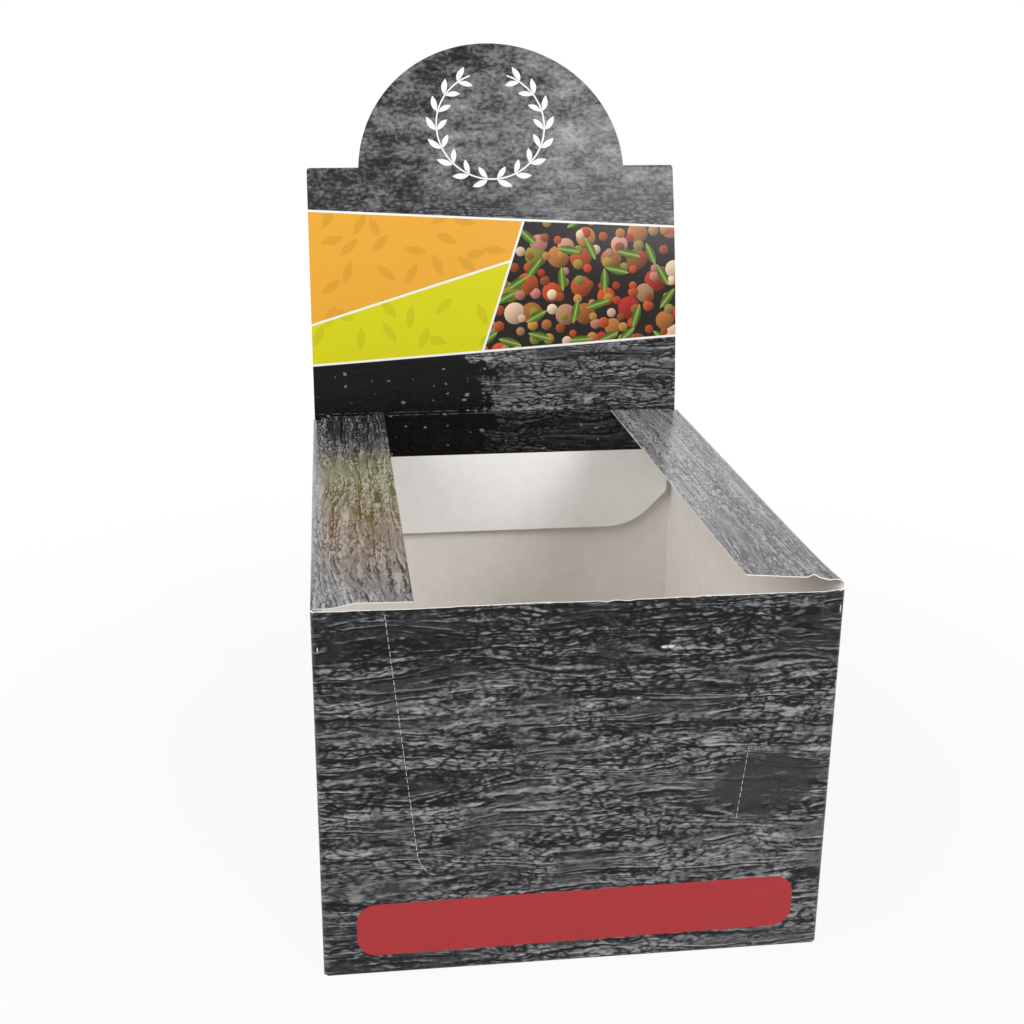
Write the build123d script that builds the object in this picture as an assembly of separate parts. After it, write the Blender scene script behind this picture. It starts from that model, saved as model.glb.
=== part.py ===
from build123d import *
import math
import os

# Counter display carton folded from one sheet of board, in millimetres, +Z up.
# The origin is the middle of the base. The front panel faces -Y, and the lid, folded double into a
# header with a pop-up dome, stands on the rim of the back panel.

# The sheet of board
board = 0.6              # thickness
crease_radius = 1.0      # outside radius of the tray's upright folds
base_radius = 0.8        # outside radius of the folds round the base

# The tray, outside sizes
width = 150.0
depth = 200.0
height = 117.0           # floor to the cut edge of the front panel, and to the lid's fold at the back
side_rise = 0.6          # the side panels end this far above the front panel's edge

# The base: two large flaps that meet on a stepped seam, and two tapered side flaps inside them
seam_gap = 0.5
seam_step = 16.0         # each leg of the seam lies this far in front of or behind the middle
seam_side = 18.0         # the step between the legs lies this far right of the middle
base_tab_reach = 54.0    # a side flap's length in from its panel
base_tab_taper = 38.0    # what a side flap loses in width at each end of its inner edge
base_tab_gap = 1.0       # between a side flap and the front and back panels

# The glued seam inside the left panel, at the back
glue_tab_width = 14.0
glue_tab_bevel = 9.0     # its top and bottom ends slope by this much
glue_tab_drop = 5.0      # it ends this far below the rim and above the base flaps

# The lid, folded double
lid_inset = 0.5          # the lid is narrower than the tray by this much at each side
lid_slack = 3.0          # the closed lid would end this far short of the tray's depth
lid_lean = 12.0          # lean of the doubled lid, degrees back from upright
lid_bow = 14.0           # turn of each half along its length, degrees
fold_radius = 0.6        # middle of the board round the doubling fold
shoulder_radius = 1.7    # rounding of the two shoulders beside the dome

# The dome, cut out of the lid's rear half and carried on by the front half
dome_radius = 54.0
dome_drop = 2.0          # its centre lies this far below the doubling fold
dome_bow = 7.0           # turn of the dome along its height, degrees

# The tuck flap, down inside the back panel
tuck_inset = 2.5         # the tuck flap is narrower than the lid by this much at each side
tuck_length = 51.0
tuck_corner = 15.0       # legs of the slope at each lower corner
tuck_radius = 25.0       # rounding from the lower edge into that slope

# The tear-out line scored into the front panel
tear_top_half = 55.0     # half its width at the rim
tear_foot_half = 46.0    # half its width at the foot
tear_foot = 31.5         # height of its foot above the base
tear_radius = 9.0
tear_width = 0.4
tear_depth = 0.3

# The dust flaps, hinged on the side panels
flap_width = 28.0
flap_front_gap = 3.0     # from the front panel's face
flap_back_gap = 6.0      # from the back panel's face
flap_miter = 4.0         # cut across the rear corner at the fold
hinge_gap = 0.1          # running gap between a flap's rounded edge and its side panel
left_lifts = (-1.2, 2.4)  # lift of the left flap's free edge at the front and the back, degrees
right_lifts = (6.3, 0.3)  # the same for the right flap, degrees

overrun = 2.0            # how far a cutting shape passes the face that it cuts

# Worked out from the sizes above
half = board / 2
side_top = height + side_rise
lid_side = width / 2 - lid_inset
lid_half = (depth - lid_slack) / 2
hinge_x = width / 2 - half
hinge_z = side_top + hinge_gap + half
crease_line = crease_radius - half
dome_height = dome_radius - dome_drop
dome_half_chord = math.sqrt(dome_radius**2 - dome_drop**2)


def heading(lean):
    """Direction of travel in side view (Y, Z) for a lean in degrees back from upright."""
    return Vector(math.sin(math.radians(lean)), math.cos(math.radians(lean)))


class Stretch:
    """A stretch of board in side view, bent evenly by turn degrees along its length."""

    def __init__(self, start, lean, length, turn):
        self.start = start
        self.lean = lean
        self.length = length
        self.turn = turn
        self.end = self.point(length, 0)

    def point(self, along, aside):
        """The point this far along the middle line and this far to its right."""
        part_turn = self.turn * along / self.length
        across = heading(self.lean + part_turn + 90)
        if self.turn == 0:
            return self.start + heading(self.lean) * along + across * aside
        radius = self.length / math.radians(self.turn)
        centre = self.start + heading(self.lean + 90) * radius
        return centre - across * (radius - aside)

    def edge(self, aside):
        """One long edge of the section, an arc or a straight line."""
        ends = (self.point(0, aside), self.point(self.length, aside))
        if self.turn == 0:
            return Line(*ends)
        return ThreePointArc(ends[0], self.point(self.length / 2, aside), ends[1])

    def section(self):
        """The board's own section, as a face in the YZ plane."""
        near = self.edge(-half)
        far = self.edge(half)
        foot = Line(near @ 0, far @ 0)
        head = Line(near @ 1, far @ 1)
        return make_face([near, head, far, foot])

    def sheet(self, left, right):
        """The section drawn out along X from left to right."""
        return extrude(Plane.YZ.offset(left) * self.section(), amount=right - left)

    def face_plane(self, along):
        """A plane on the middle line there, with X across the sheet and Y along the travel."""
        at = self.point(along, 0)
        way = heading(self.lean + self.turn * along / self.length)
        across = Vector(1, 0, 0)
        return Plane(
            origin=(0, at.X, at.Y), x_dir=across, z_dir=across.cross(Vector(0, way.X, way.Y))
        )


def after(stretch, length, turn):
    """The stretch that carries on from the end of another."""
    return Stretch(stretch.end, stretch.lean + stretch.turn, length, turn)


def bend(stretch, radius, turn):
    """A fold of that radius, carrying on from the end of another stretch."""
    return after(stretch, radius * math.radians(abs(turn)), turn)


def tray():
    """Front, back and side panels on the base, with the front and back cut down to their rims."""
    block = extrude(RectangleRounded(width, depth, crease_radius), amount=side_top)
    block = fillet(block.faces().sort_by(Axis.Z)[0].edges(), base_radius)
    inner = RectangleRounded(width - 2 * board, depth - 2 * board, crease_radius - board)
    body = block - Pos(0, 0, board) * extrude(inner, amount=side_top)
    rim_cut = Box(width, crease_radius + overrun, side_rise, align=(Align.CENTER, Align.MAX, Align.MIN))
    front_cut = Pos(0, crease_radius - depth / 2, height) * rim_cut
    return body - front_cut - mirror(front_cut, about=Plane.XZ)


def base_seam():
    """The stepped slit where the two large base flaps meet."""
    reach = width / 2 - crease_radius - board
    path = Polyline((-reach, -seam_step), (seam_side, -seam_step), (seam_side, seam_step), (reach, seam_step))
    return extrude(trace(path, line_width=seam_gap), amount=board)


def base_tab():
    """The right-hand side flap of the base, lying on the large flaps."""
    root = width / 2 - board
    half_root = depth / 2 - board - base_tab_gap
    half_tip = half_root - base_tab_taper
    tip = root - base_tab_reach
    outline = Polyline((root, -half_root), (root, half_root), (tip, half_tip), (tip, -half_tip), close=True)
    return Pos(0, 0, board) * extrude(make_face(outline), amount=board)


def glue_tab():
    """The glued strip inside the left panel that closes the sheet into a sleeve."""
    back = depth / 2 - board
    front = back - glue_tab_width
    foot = 2 * board + glue_tab_drop
    head = height - glue_tab_drop
    outline = Polyline(
        (back, foot), (back, head), (front, head - glue_tab_bevel), (front, foot + glue_tab_bevel), close=True
    )
    return extrude(Plane.YZ.offset(board - width / 2) * make_face(outline), amount=board)


def tear_line():
    """The scored line of the tear-out panel, open at the rim."""
    rim = height + overrun
    slope = (tear_top_half - tear_foot_half) / (height - tear_foot)
    rim_half = tear_top_half + slope * overrun
    path = FilletPolyline(
        (-rim_half, rim),
        (-tear_foot_half, tear_foot),
        (tear_foot_half, tear_foot),
        (rim_half, rim),
        radius=tear_radius,
    )
    face = Plane(origin=(0, -depth / 2, 0), x_dir=(1, 0, 0), z_dir=(0, -1, 0))
    return extrude(face * trace(path, line_width=tear_width), amount=tear_depth, both=True)


def dome_disc(plane, centre_y):
    """A thick disc of the dome's outline across a stretch of the lid, for cutting it."""
    disc = plane * Pos(0, centre_y, 0) * Circle(dome_radius)
    return extrude(disc, amount=dome_radius, both=True)


def lid():
    """The lid from the back panel's rim: up, over the doubling fold, and down to the rim again."""
    foot = Stretch(Vector(depth / 2 - half, height), 0, crease_line, 0)
    hinge = bend(foot, crease_line, lid_lean + lid_bow / 2)
    rear = after(hinge, lid_half, -lid_bow)
    fold = bend(rear, fold_radius, lid_bow - 180)
    front = after(fold, lid_half, -lid_bow)
    crease = bend(front, crease_line, lid_bow / 2 - lid_lean)

    hole_plane = rear.face_plane(lid_half - dome_height / 2)
    rear_sheet = rear.sheet(-lid_side, lid_side) - dome_disc(hole_plane, dome_height / 2 + dome_drop)
    shoulder = fold.sheet(dome_half_chord, lid_side)
    sheet = rear_sheet + shoulder + mirror(shoulder, about=Plane.YZ) + front.sheet(-lid_side, lid_side)
    sheet = sheet & shoulder_outline(max(rear.end.Y, front.start.Y) + fold_radius + half)
    for strip in (foot, hinge, crease):
        sheet = sheet + strip.sheet(-lid_side, lid_side)
    return sheet + dome(front) + tuck_flap(crease.end)


def shoulder_outline(top):
    """The doubled lid seen from the front, with rounded shoulders, as a block to trim it by."""
    reach = top - height
    outline = Pos(0, height + reach / 2) * Rectangle(2 * lid_side, reach)
    outline = fillet(outline.vertices().sort_by(Axis.Y)[-2:], shoulder_radius)
    return extrude(Plane.XZ * outline, amount=depth + lid_half, both=True)


def dome(front):
    """The pop-up dome, carried on upwards from the top of the lid's front half."""
    start = Stretch(front.start, front.lean + 180, dome_height, dome_bow)
    blank = start.sheet(-dome_radius, dome_radius)
    middle = start.face_plane(dome_height / 2)
    return blank & dome_disc(middle, -dome_height / 2 - dome_drop)


def tuck_flap(at):
    """The tuck flap, hanging from the lid's lower crease inside the back panel."""
    side = lid_side - tuck_inset
    slope_top = tuck_corner - tuck_length
    slope_foot = side - tuck_corner
    outline = make_face(
        Polyline(
            (-side, 0),
            (side, 0),
            (side, slope_top),
            (slope_foot, -tuck_length),
            (-slope_foot, -tuck_length),
            (-side, slope_top),
            close=True,
        )
    )
    outline = fillet(outline.vertices().sort_by(Axis.Y)[:2], tuck_radius)
    plane = Plane(origin=(0, at.X, at.Y), x_dir=(1, 0, 0), z_dir=(0, -1, 0))
    return extrude(plane * outline, amount=half, both=True)


def carton():
    """The folded sheet, all but its two dust flaps."""
    tab = base_tab()
    body = tray() - base_seam() + tab + mirror(tab, about=Plane.YZ) + glue_tab() - tear_line()
    return body + lid()


def flap_section(at_y, lift):
    """A dust flap's section, from the rounded edge on the hinge line to the cut free edge."""
    tilt = math.radians(lift)
    plane = Plane(
        origin=(hinge_x, at_y, hinge_z), x_dir=(-math.cos(tilt), 0, math.sin(tilt)), z_dir=(0, 1, 0)
    )
    strip = Rectangle(flap_width, board, align=(Align.MIN, Align.CENTER))
    return plane * (strip + Circle(half))


def dust_flap(lifts):
    """A right-hand dust flap, twisted from its front lift to its back lift."""
    front = flap_front_gap - depth / 2
    back = depth / 2 - flap_back_gap
    sheet = loft([flap_section(front, lifts[0]), flap_section(back, lifts[1])], ruled=True)
    edge = hinge_x + half
    corner = make_face(
        Polyline(
            (edge + overrun, back - flap_miter - overrun),
            (edge + overrun, back + overrun),
            (edge - flap_miter - overrun, back + overrun),
            close=True,
        )
    )
    return sheet - Pos(0, 0, hinge_z) * extrude(corner, amount=flap_width, both=True)


def main():
    os.makedirs("parts", exist_ok=True)
    nodes = {
        "carton": carton(),
        "left_dust_flap": mirror(dust_flap(left_lifts), about=Plane.YZ),
        "right_dust_flap": dust_flap(right_lifts),
    }
    for name, shape in nodes.items():
        export_step(shape, f"parts/{name}.step")


main()
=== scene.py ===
"""Looks of a counter display carton, folded from one printed sheet of board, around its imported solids.

The board is laid out flat as a blank, in millimetres, and folded up panel by panel. Where each point
lay on the flat blank is kept as the die_line map, and the print follows that map across the folds.
"""

from __future__ import annotations

import logging
import math
from collections.abc import Callable, Sequence
from dataclasses import dataclass, field
from enum import IntEnum
from functools import partial

import bmesh
import bpy
import numpy as np
from mathutils import Matrix, Vector

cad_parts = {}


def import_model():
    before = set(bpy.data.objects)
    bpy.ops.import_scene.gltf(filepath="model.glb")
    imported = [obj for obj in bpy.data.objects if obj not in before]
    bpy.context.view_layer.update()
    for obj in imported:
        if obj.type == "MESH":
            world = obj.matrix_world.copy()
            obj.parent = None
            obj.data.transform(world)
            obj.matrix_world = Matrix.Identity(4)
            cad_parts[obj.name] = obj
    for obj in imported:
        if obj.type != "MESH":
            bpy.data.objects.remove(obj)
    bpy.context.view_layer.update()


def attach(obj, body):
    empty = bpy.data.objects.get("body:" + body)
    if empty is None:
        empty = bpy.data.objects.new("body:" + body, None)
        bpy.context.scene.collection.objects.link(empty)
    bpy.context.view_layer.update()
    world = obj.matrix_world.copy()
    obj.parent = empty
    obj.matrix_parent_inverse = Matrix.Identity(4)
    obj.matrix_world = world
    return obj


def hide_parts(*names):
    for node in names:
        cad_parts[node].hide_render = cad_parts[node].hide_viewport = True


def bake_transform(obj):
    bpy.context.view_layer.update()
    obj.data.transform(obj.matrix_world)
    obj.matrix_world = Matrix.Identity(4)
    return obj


MM = 0.001
DIE_LINE = "die_line"
WEAR = "wear"
LOG = logging.getLogger("carton")

# Rows of a flap are first laid out over this length and then drawn in to the flap's own.
SPREAD = 1000.0

Numbers = np.ndarray
Pair = tuple[Numbers, Numbers]
Fold = Callable[[Numbers, Numbers], Numbers]
Outline = Callable[[Numbers, Numbers], Pair]
Point = tuple[float, float, float]
WornEdge = tuple[Point, Point, float, float]
Piece = bpy.types.Object
Node = bpy.types.Node
Adder = Callable[..., Node]
Stops = Sequence[tuple[float, str]]


class Skin(IntEnum):
    """Material slots of a piece of board."""

    PRINT = 0
    INSIDE = 1
    CUT = 2


class Side(IntEnum):
    """The two sides of the tray, by the sign of X."""

    LEFT = -1
    RIGHT = 1


# Colours and nodes


def ink(code: str) -> tuple[float, float, float, float]:
    """Turns an sRGB hex colour into linear values.

    Args:
        code: six hex digits after a hash sign.

    Returns:
        Red, green, blue and alpha for a socket.
    """
    parts = [int(code[i : i + 2], 16) / 255 for i in (1, 3, 5)]
    linear = [p / 12.92 if p <= 0.04045 else ((p + 0.055) / 1.055) ** 2.4 for p in parts]
    return (*linear, 1.0)


def add_node(
    tree: bpy.types.NodeTree, kind: str, feeds: Sequence | dict = (), stops: Stops = (), **settings: str
) -> Node:
    """Adds a node with its settings and with what feeds its sockets.

    Args:
        tree: the material's or the world's nodes.
        kind: the node's type, without the prefix that all types share.
        feeds: what feeds the inputs in use, in their order, or what feeds each named input: an output
            socket, a node in place of its first output in use, or a fixed value.
        stops: places and colours of a colour ramp.
        settings: the node's own properties.

    Returns:
        The new node.
    """
    made = tree.nodes.new("ShaderNode" + kind)
    for key, value in settings.items():
        setattr(made, key, value)
    in_use = [socket for socket in made.inputs if socket.enabled]
    for key, value in feeds.items() if isinstance(feeds, dict) else enumerate(feeds):
        socket = in_use[key] if isinstance(key, int) else made.inputs[key]
        if isinstance(value, Node):
            value = next(output for output in value.outputs if output.enabled)
        if isinstance(value, bpy.types.NodeSocket):
            tree.links.new(value, socket)
        else:
            socket.default_value = value
    for index, (place, code) in enumerate(stops):
        elements = made.color_ramp.elements
        stop = elements[index] if index < 2 else elements.new(place)
        stop.position = place
        stop.color = ink(code)
    return made


# Board, laid flat and folded up


def select_only(piece: Piece) -> None:
    """Makes one piece the only selected one, and the active one."""
    bpy.ops.object.select_all(action="DESELECT")
    piece.select_set(True)
    bpy.context.view_layer.objects.active = piece


def lay_grid(name: str, columns: Sequence[float], rows: Sequence[float]) -> Piece:
    """Lays one panel of the blank flat, as a grid with its lines at given places.

    Args:
        name: the panel's name.
        columns: places along the blank in millimetres, rising.
        rows: places up the blank in millimetres, rising.

    Returns:
        The flat panel, printed face up, in millimetres.
    """
    bpy.ops.object.select_all(action="DESELECT")
    across = len(columns) - 1
    up = len(rows) - 1
    bpy.ops.mesh.primitive_grid_add(x_subdivisions=across, y_subdivisions=up, size=2.0)
    panel = bpy.context.object
    panel.name = name
    points = read_points(panel)
    column = np.rint((points[:, 0] + 1) / 2 * across).astype(int)
    row = np.rint((points[:, 1] + 1) / 2 * up).astype(int)
    points[:, 0] = np.asarray(columns)[column]
    points[:, 1] = np.asarray(rows)[row]
    points[:, 2] = 0
    write_points(panel, points)
    return panel


def read_points(piece: Piece) -> Numbers:
    """The places of a piece's vertices, one row each."""
    points = np.empty(len(piece.data.vertices) * 3)
    piece.data.vertices.foreach_get("co", points)
    return points.reshape(-1, 3)


def write_points(piece: Piece, points: Numbers) -> None:
    """Puts a piece's vertices at new places."""
    piece.data.vertices.foreach_set("co", points.astype(np.float32).ravel())
    piece.data.update()


def fold_up(panel: Piece, fold: Fold, outline: Outline | None = None) -> Piece:
    """Cuts a flat panel to its outline, keeps its die_line map and folds it into place.

    Args:
        panel: a flat panel in millimetres.
        fold: gives the folded place in millimetres for places on the blank.
        outline: moves places on the blank so that the panel gets its cut shape.

    Returns:
        The panel, folded, in metres.
    """
    points = read_points(panel)
    along, up = points[:, 0], points[:, 1]
    if outline:
        along, up = outline(along, up)
    mesh = panel.data
    corner = np.empty(len(mesh.loops), dtype=np.int32)
    mesh.loops.foreach_get("vertex_index", corner)
    die_line = mesh.uv_layers[0]
    die_line.name = DIE_LINE
    die_line.data.foreach_set("uv", (np.stack([along, up], 1)[corner] * MM).astype(np.float32).ravel())
    write_points(panel, fold(along, up) * MM)
    return panel


def weld(pieces: Sequence[Piece], name: str) -> Piece:
    """Joins folded panels into one sheet and merges the points that they share."""
    bpy.ops.object.select_all(action="DESELECT")
    for piece in pieces:
        piece.select_set(True)
    bpy.context.view_layer.objects.active = pieces[0]
    bpy.ops.object.join()
    sheet = bpy.context.object
    sheet.name = name
    sheet.data.name = name
    bpy.ops.object.mode_set(mode="EDIT")
    bpy.ops.mesh.select_all(action="SELECT")
    bpy.ops.mesh.remove_doubles(threshold=0.004 * MM)
    bpy.ops.mesh.dissolve_degenerate(threshold=0.002 * MM)
    bpy.ops.object.mode_set(mode="OBJECT")
    return sheet


def gap_to_run(points: Numbers, start: Sequence[float], end: Sequence[float]) -> Numbers:
    """How far places lie from the straight run between two ends."""
    first = np.array(start)
    run = np.array(end) - first
    share = np.clip((points - first) @ run / (run @ run), 0, 1)
    return np.linalg.norm(points - first - share[:, None] * run, axis=1)


def mark_wear(piece: Piece, edges: Sequence[WornEdge]) -> None:
    """Keeps, for each vertex, how much the folds and cut edges near it are rubbed.

    Args:
        piece: a sheet before it gets its thickness.
        edges: both ends of each such edge, how far its rubbing goes, in millimetres, and how strong it is.
    """
    points = read_points(piece) / MM
    most = np.zeros(len(points))
    for start, end, reach, strength in edges:
        gap = gap_to_run(points, start, end)
        most = np.maximum(most, strength * np.clip(1 - gap / reach, 0, 1))
    attribute = piece.data.attributes.new(WEAR, "FLOAT", "POINT")
    attribute.data.foreach_set("value", most.astype(np.float32))


def thicken(piece: Piece, board: float) -> None:
    """Gives a sheet the board's thickness, behind its printed face, with a cut edge all round."""
    select_only(piece)
    bpy.ops.object.modifier_add(type="SOLIDIFY")
    wall = piece.modifiers[-1]
    wall.thickness = board * MM
    wall.offset = -1
    wall.use_even_offset = True
    wall.thickness_clamp = 1.0
    wall.material_offset = int(Skin.INSIDE)
    wall.material_offset_rim = int(Skin.CUT)
    bpy.ops.object.modifier_apply(modifier=wall.name)
    bpy.ops.object.shade_smooth_by_angle(angle=math.radians(32))


@dataclass(frozen=True)
class Sizes:
    """Sizes of the folded carton in millimetres.

    They are those of its solids, but for finer cut edges, a finer seam in the base and the tuck flap's
    tilt and flared top.
    """

    board: float = 0.6
    cut_edge: float = 0.52
    flap_edge: float = 0.26
    crease: float = 1.0
    base_crease: float = 0.8
    width: float = 150.0
    depth: float = 200.0
    height: float = 117.0
    side_end: float = 116.6
    seam_gap: float = 0.2
    seam_step: float = 16.0
    seam_side: float = 18.0
    seam_slant: float = 0.05
    tab_reach: float = 53.8
    tab_root: float = 98.4
    tab_taper: float = 38.0
    tab_gap: float = 0.02
    glue_width: float = 13.4
    glue_bevel: float = 9.0
    glue_drop: float = 5.0
    glue_fold: float = 73.4
    glue_face: float = 74.38
    left_end: float = 0.4
    lid_side: float = 74.5
    lid_half: float = 98.5
    lid_lean: float = 12.0
    lid_bow: float = 14.0
    fold_radius: float = 0.6
    crease_line: float = 0.7
    shoulder_radius: float = 1.7
    dome_radius: float = 54.0
    dome_drop: float = 2.0
    dome_bow: float = 7.0
    tuck_side: float = 72.0
    tuck_length: float = 51.0
    tuck_corner: float = 15.0
    tuck_radius: float = 25.0
    tuck_tilt: float = 3.5
    flare_end: float = 4.5
    flare_run: float = 2.9
    flap_width: float = 28.0
    flap_front: float = -97.0
    flap_back: float = 94.0
    flap_miter: float = 4.0
    hinge_x: float = 74.7
    hinge_z: float = 118.0

    @property
    def half_board(self) -> float:
        """Half the board's thickness."""
        return self.board / 2

    @property
    def half_width(self) -> float:
        """From the middle to the outside of a side panel."""
        return self.width / 2

    @property
    def half_depth(self) -> float:
        """From the middle to the outside of the front panel."""
        return self.depth / 2

    @property
    def back_middle(self) -> float:
        """Where the middle of the back panel and the lid lies along the blank."""
        return self.width + self.depth

    @property
    def side_middle(self) -> float:
        """Where the middle of a side panel lies along the blank, left or right."""
        return (self.width + self.depth) / 2

    @property
    def tab_lift(self) -> float:
        """Height of the printed face of the base's side flaps above the floor."""
        return self.board + self.tab_gap

    @property
    def short_flap(self) -> float:
        """Length of the front and the back base flap where it ends before the middle."""
        return self.half_depth - self.base_crease - self.seam_step - self.seam_gap / 2

    @property
    def long_flap(self) -> float:
        """Length of the front and the back base flap where it reaches past the middle."""
        return self.half_depth - self.base_crease + self.seam_step - self.seam_gap / 2


@dataclass(frozen=True)
class Stretch:
    """A stretch of board in side view, bent evenly along its length.

    It starts at a place given by Y and Z, leans back from upright there and turns along its length, both
    in degrees.
    """

    start: tuple[float, float]
    lean: float
    length: float
    turn: float

    @property
    def end(self) -> tuple[float, float]:
        """Where the stretch ends."""
        return tuple(self.points(np.array([self.length]), 0.0)[0])

    @staticmethod
    def heading(lean: Numbers | float) -> Numbers:
        """Direction of travel in side view for a lean in degrees."""
        angle = np.radians(np.atleast_1d(lean))
        return np.stack([np.sin(angle), np.cos(angle)], 1)

    def points(self, along: Numbers, aside: float) -> Numbers:
        """Places at given distances along the middle line.

        Args:
            along: distances from the start.
            aside: how far to the right of the line the places lie.

        Returns:
            Y and Z of each place.
        """
        across = self.heading(self.lean + self.turn * along / self.length + 90)
        if self.turn == 0:
            return self.start + self.heading(self.lean) * along[:, None] + across * aside
        radius = self.length / math.radians(self.turn)
        centre = self.start + self.heading(self.lean + 90) * radius
        return centre - across * (radius - aside)

    def onward(self, length: float, turn: float) -> Stretch:
        """The stretch that carries on from this one's end."""
        return Stretch(self.end, self.lean + self.turn, length, turn)

    def bend(self, radius: float, turn: float) -> Stretch:
        """A fold of that radius that carries on from this one's end."""
        return self.onward(radius * math.radians(abs(turn)), turn)


@dataclass
class TearLine:
    """The perforated tear-out line in the front panel: short slits with bridges between them.

    All slits are scored. Left of opened_left, and on the right between the heights of opened_right,
    they are pressed open too.
    """

    top_half: float = 55.0
    foot_half: float = 46.0
    foot: float = 31.5
    radius: float = 9.0
    top: float = 117.0
    half_slit: float = 0.12
    slit: float = 1.7
    bridge: float = 0.5
    score: float = 0.04
    press: float = 0.12
    opened_left: float = -36.0
    opened_right: tuple[float, float] = (46.0, 70.0)
    arc_steps: int = 7

    @property
    def pitch(self) -> float:
        """From the start of one slit to the start of the next."""
        return self.slit + self.bridge

    def path(self) -> list[tuple[float, float]]:
        """The line from the rim on the left, down, along the foot and up to the rim on the right."""
        lean = math.atan2(self.top_half - self.foot_half, self.top - self.foot)
        turn = math.pi / 2 - lean
        tangent = self.radius * math.tan(turn / 2)
        centre = (-self.foot_half + tangent, self.foot + self.radius)
        left = [(-self.top_half, self.top)]
        for step in range(self.arc_steps + 1):
            angle = math.pi + lean + turn * step / self.arc_steps
            x = centre[0] + self.radius * math.cos(angle)
            left.append((x, centre[1] + self.radius * math.sin(angle)))
        return left + [(-x, z) for x, z in reversed(left)]

    def stations(self, low: float, high: float) -> list[float]:
        """Places between two heights or sides where slits start and end in turn."""
        places = []
        place = low
        while place < high - self.bridge:
            places.append(place)
            places.append(min(place + self.slit, high))
            place += self.pitch
        return places

    def away(self, points: Numbers) -> Pair:
        """How far places on the front panel lie from the line.

        Args:
            points: places along and up the front panel.

        Returns:
            Distances, and whether the nearest run of the line is steep.
        """
        path = self.path()
        best = np.full(len(points), 1e9)
        steep = np.zeros(len(points), dtype=bool)
        for start, end in zip(path, path[1:]):
            gap = gap_to_run(points, start, end)
            nearer = gap < best
            best = np.where(nearer, gap, best)
            steep = np.where(nearer, abs(end[1] - start[1]) > abs(end[0] - start[0]), steep)
        return best, steep

    def cut(self, panel: Piece) -> None:
        """Cuts both sides of the line into the flat front panel."""
        select_only(panel)
        bpy.ops.object.mode_set(mode="EDIT")
        path = self.path()
        reach = 3.0
        for start, end in zip(path, path[1:]):
            low = np.minimum(start, end) - reach
            high = np.maximum(start, end) + reach
            run = Vector((end[0] - start[0], end[1] - start[1], 0)).normalized()
            across = Vector((-run.y, run.x, 0))
            for offset in (-self.half_slit, self.half_slit):
                mesh = bmesh.from_edit_mesh(panel.data)
                bpy.ops.mesh.select_all(action="DESELECT")
                for face in mesh.faces:
                    middle = face.calc_center_median()
                    inside = low[0] < middle.x < high[0] and low[1] < middle.y < high[1]
                    face.select_set(inside)
                bmesh.update_edit_mesh(panel.data)
                place = Vector((*start, 0)) + across * offset
                bpy.ops.mesh.bisect(plane_co=place, plane_no=across, threshold=0.0005)
        bpy.ops.object.mode_set(mode="OBJECT")

    def press_slits(self, sheet: Piece, row_start: float, column_start: float) -> int:
        """Scores the slits into the printed face, and presses the open ones in to the board's pale core.

        Args:
            sheet: the welded sheet, with its thickness.
            row_start: the height from which the slits on the legs are counted.
            column_start: the place from which the slits on the foot are counted.

        Returns:
            How many faces were scored.
        """
        select_only(sheet)
        bpy.ops.object.mode_set(mode="EDIT")
        bpy.ops.mesh.select_mode(type="FACE")
        bpy.ops.mesh.select_all(action="DESELECT")
        mesh = bmesh.from_edit_mesh(sheet.data)
        die_line = mesh.loops.layers.uv[DIE_LINE]
        faces = [f for f in mesh.faces if f.normal.y < -0.9 and f.material_index == Skin.PRINT]
        places = np.array([np.mean([loop[die_line].uv[:] for loop in f.loops], axis=0) for f in faces]) / MM
        gap, steep = self.away(places)
        phase = np.where(steep, places[:, 1] - row_start, places[:, 0] - column_start) % self.pitch
        on_front = np.abs(places[:, 0]) < self.top_half + 1
        chosen = on_front & (gap < self.half_slit * 0.9) & (phase < self.slit)
        for face, wanted in zip(faces, chosen):
            face.select_set(bool(wanted))
        bmesh.update_edit_mesh(sheet.data)
        bpy.ops.mesh.inset(thickness=0.03 * MM, depth=0.0)
        bpy.ops.transform.translate(value=(0.0, self.score * MM, 0.0))
        mesh = bmesh.from_edit_mesh(sheet.data)
        die_line = mesh.loops.layers.uv[DIE_LINE]
        for face in mesh.faces:
            if face.select:
                across, up = np.mean([loop[die_line].uv[:] for loop in face.loops], axis=0) / MM
                low, high = self.opened_right
                face.select_set(bool(across < self.opened_left or (across > 0 and low < up < high)))
        bmesh.update_edit_mesh(sheet.data)
        bpy.ops.transform.translate(value=(0.0, self.press * MM, 0.0))
        sheet.active_material_index = int(Skin.CUT)
        bpy.ops.object.material_slot_assign()
        bpy.ops.object.mode_set(mode="OBJECT")
        return int(chosen.sum())


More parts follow.
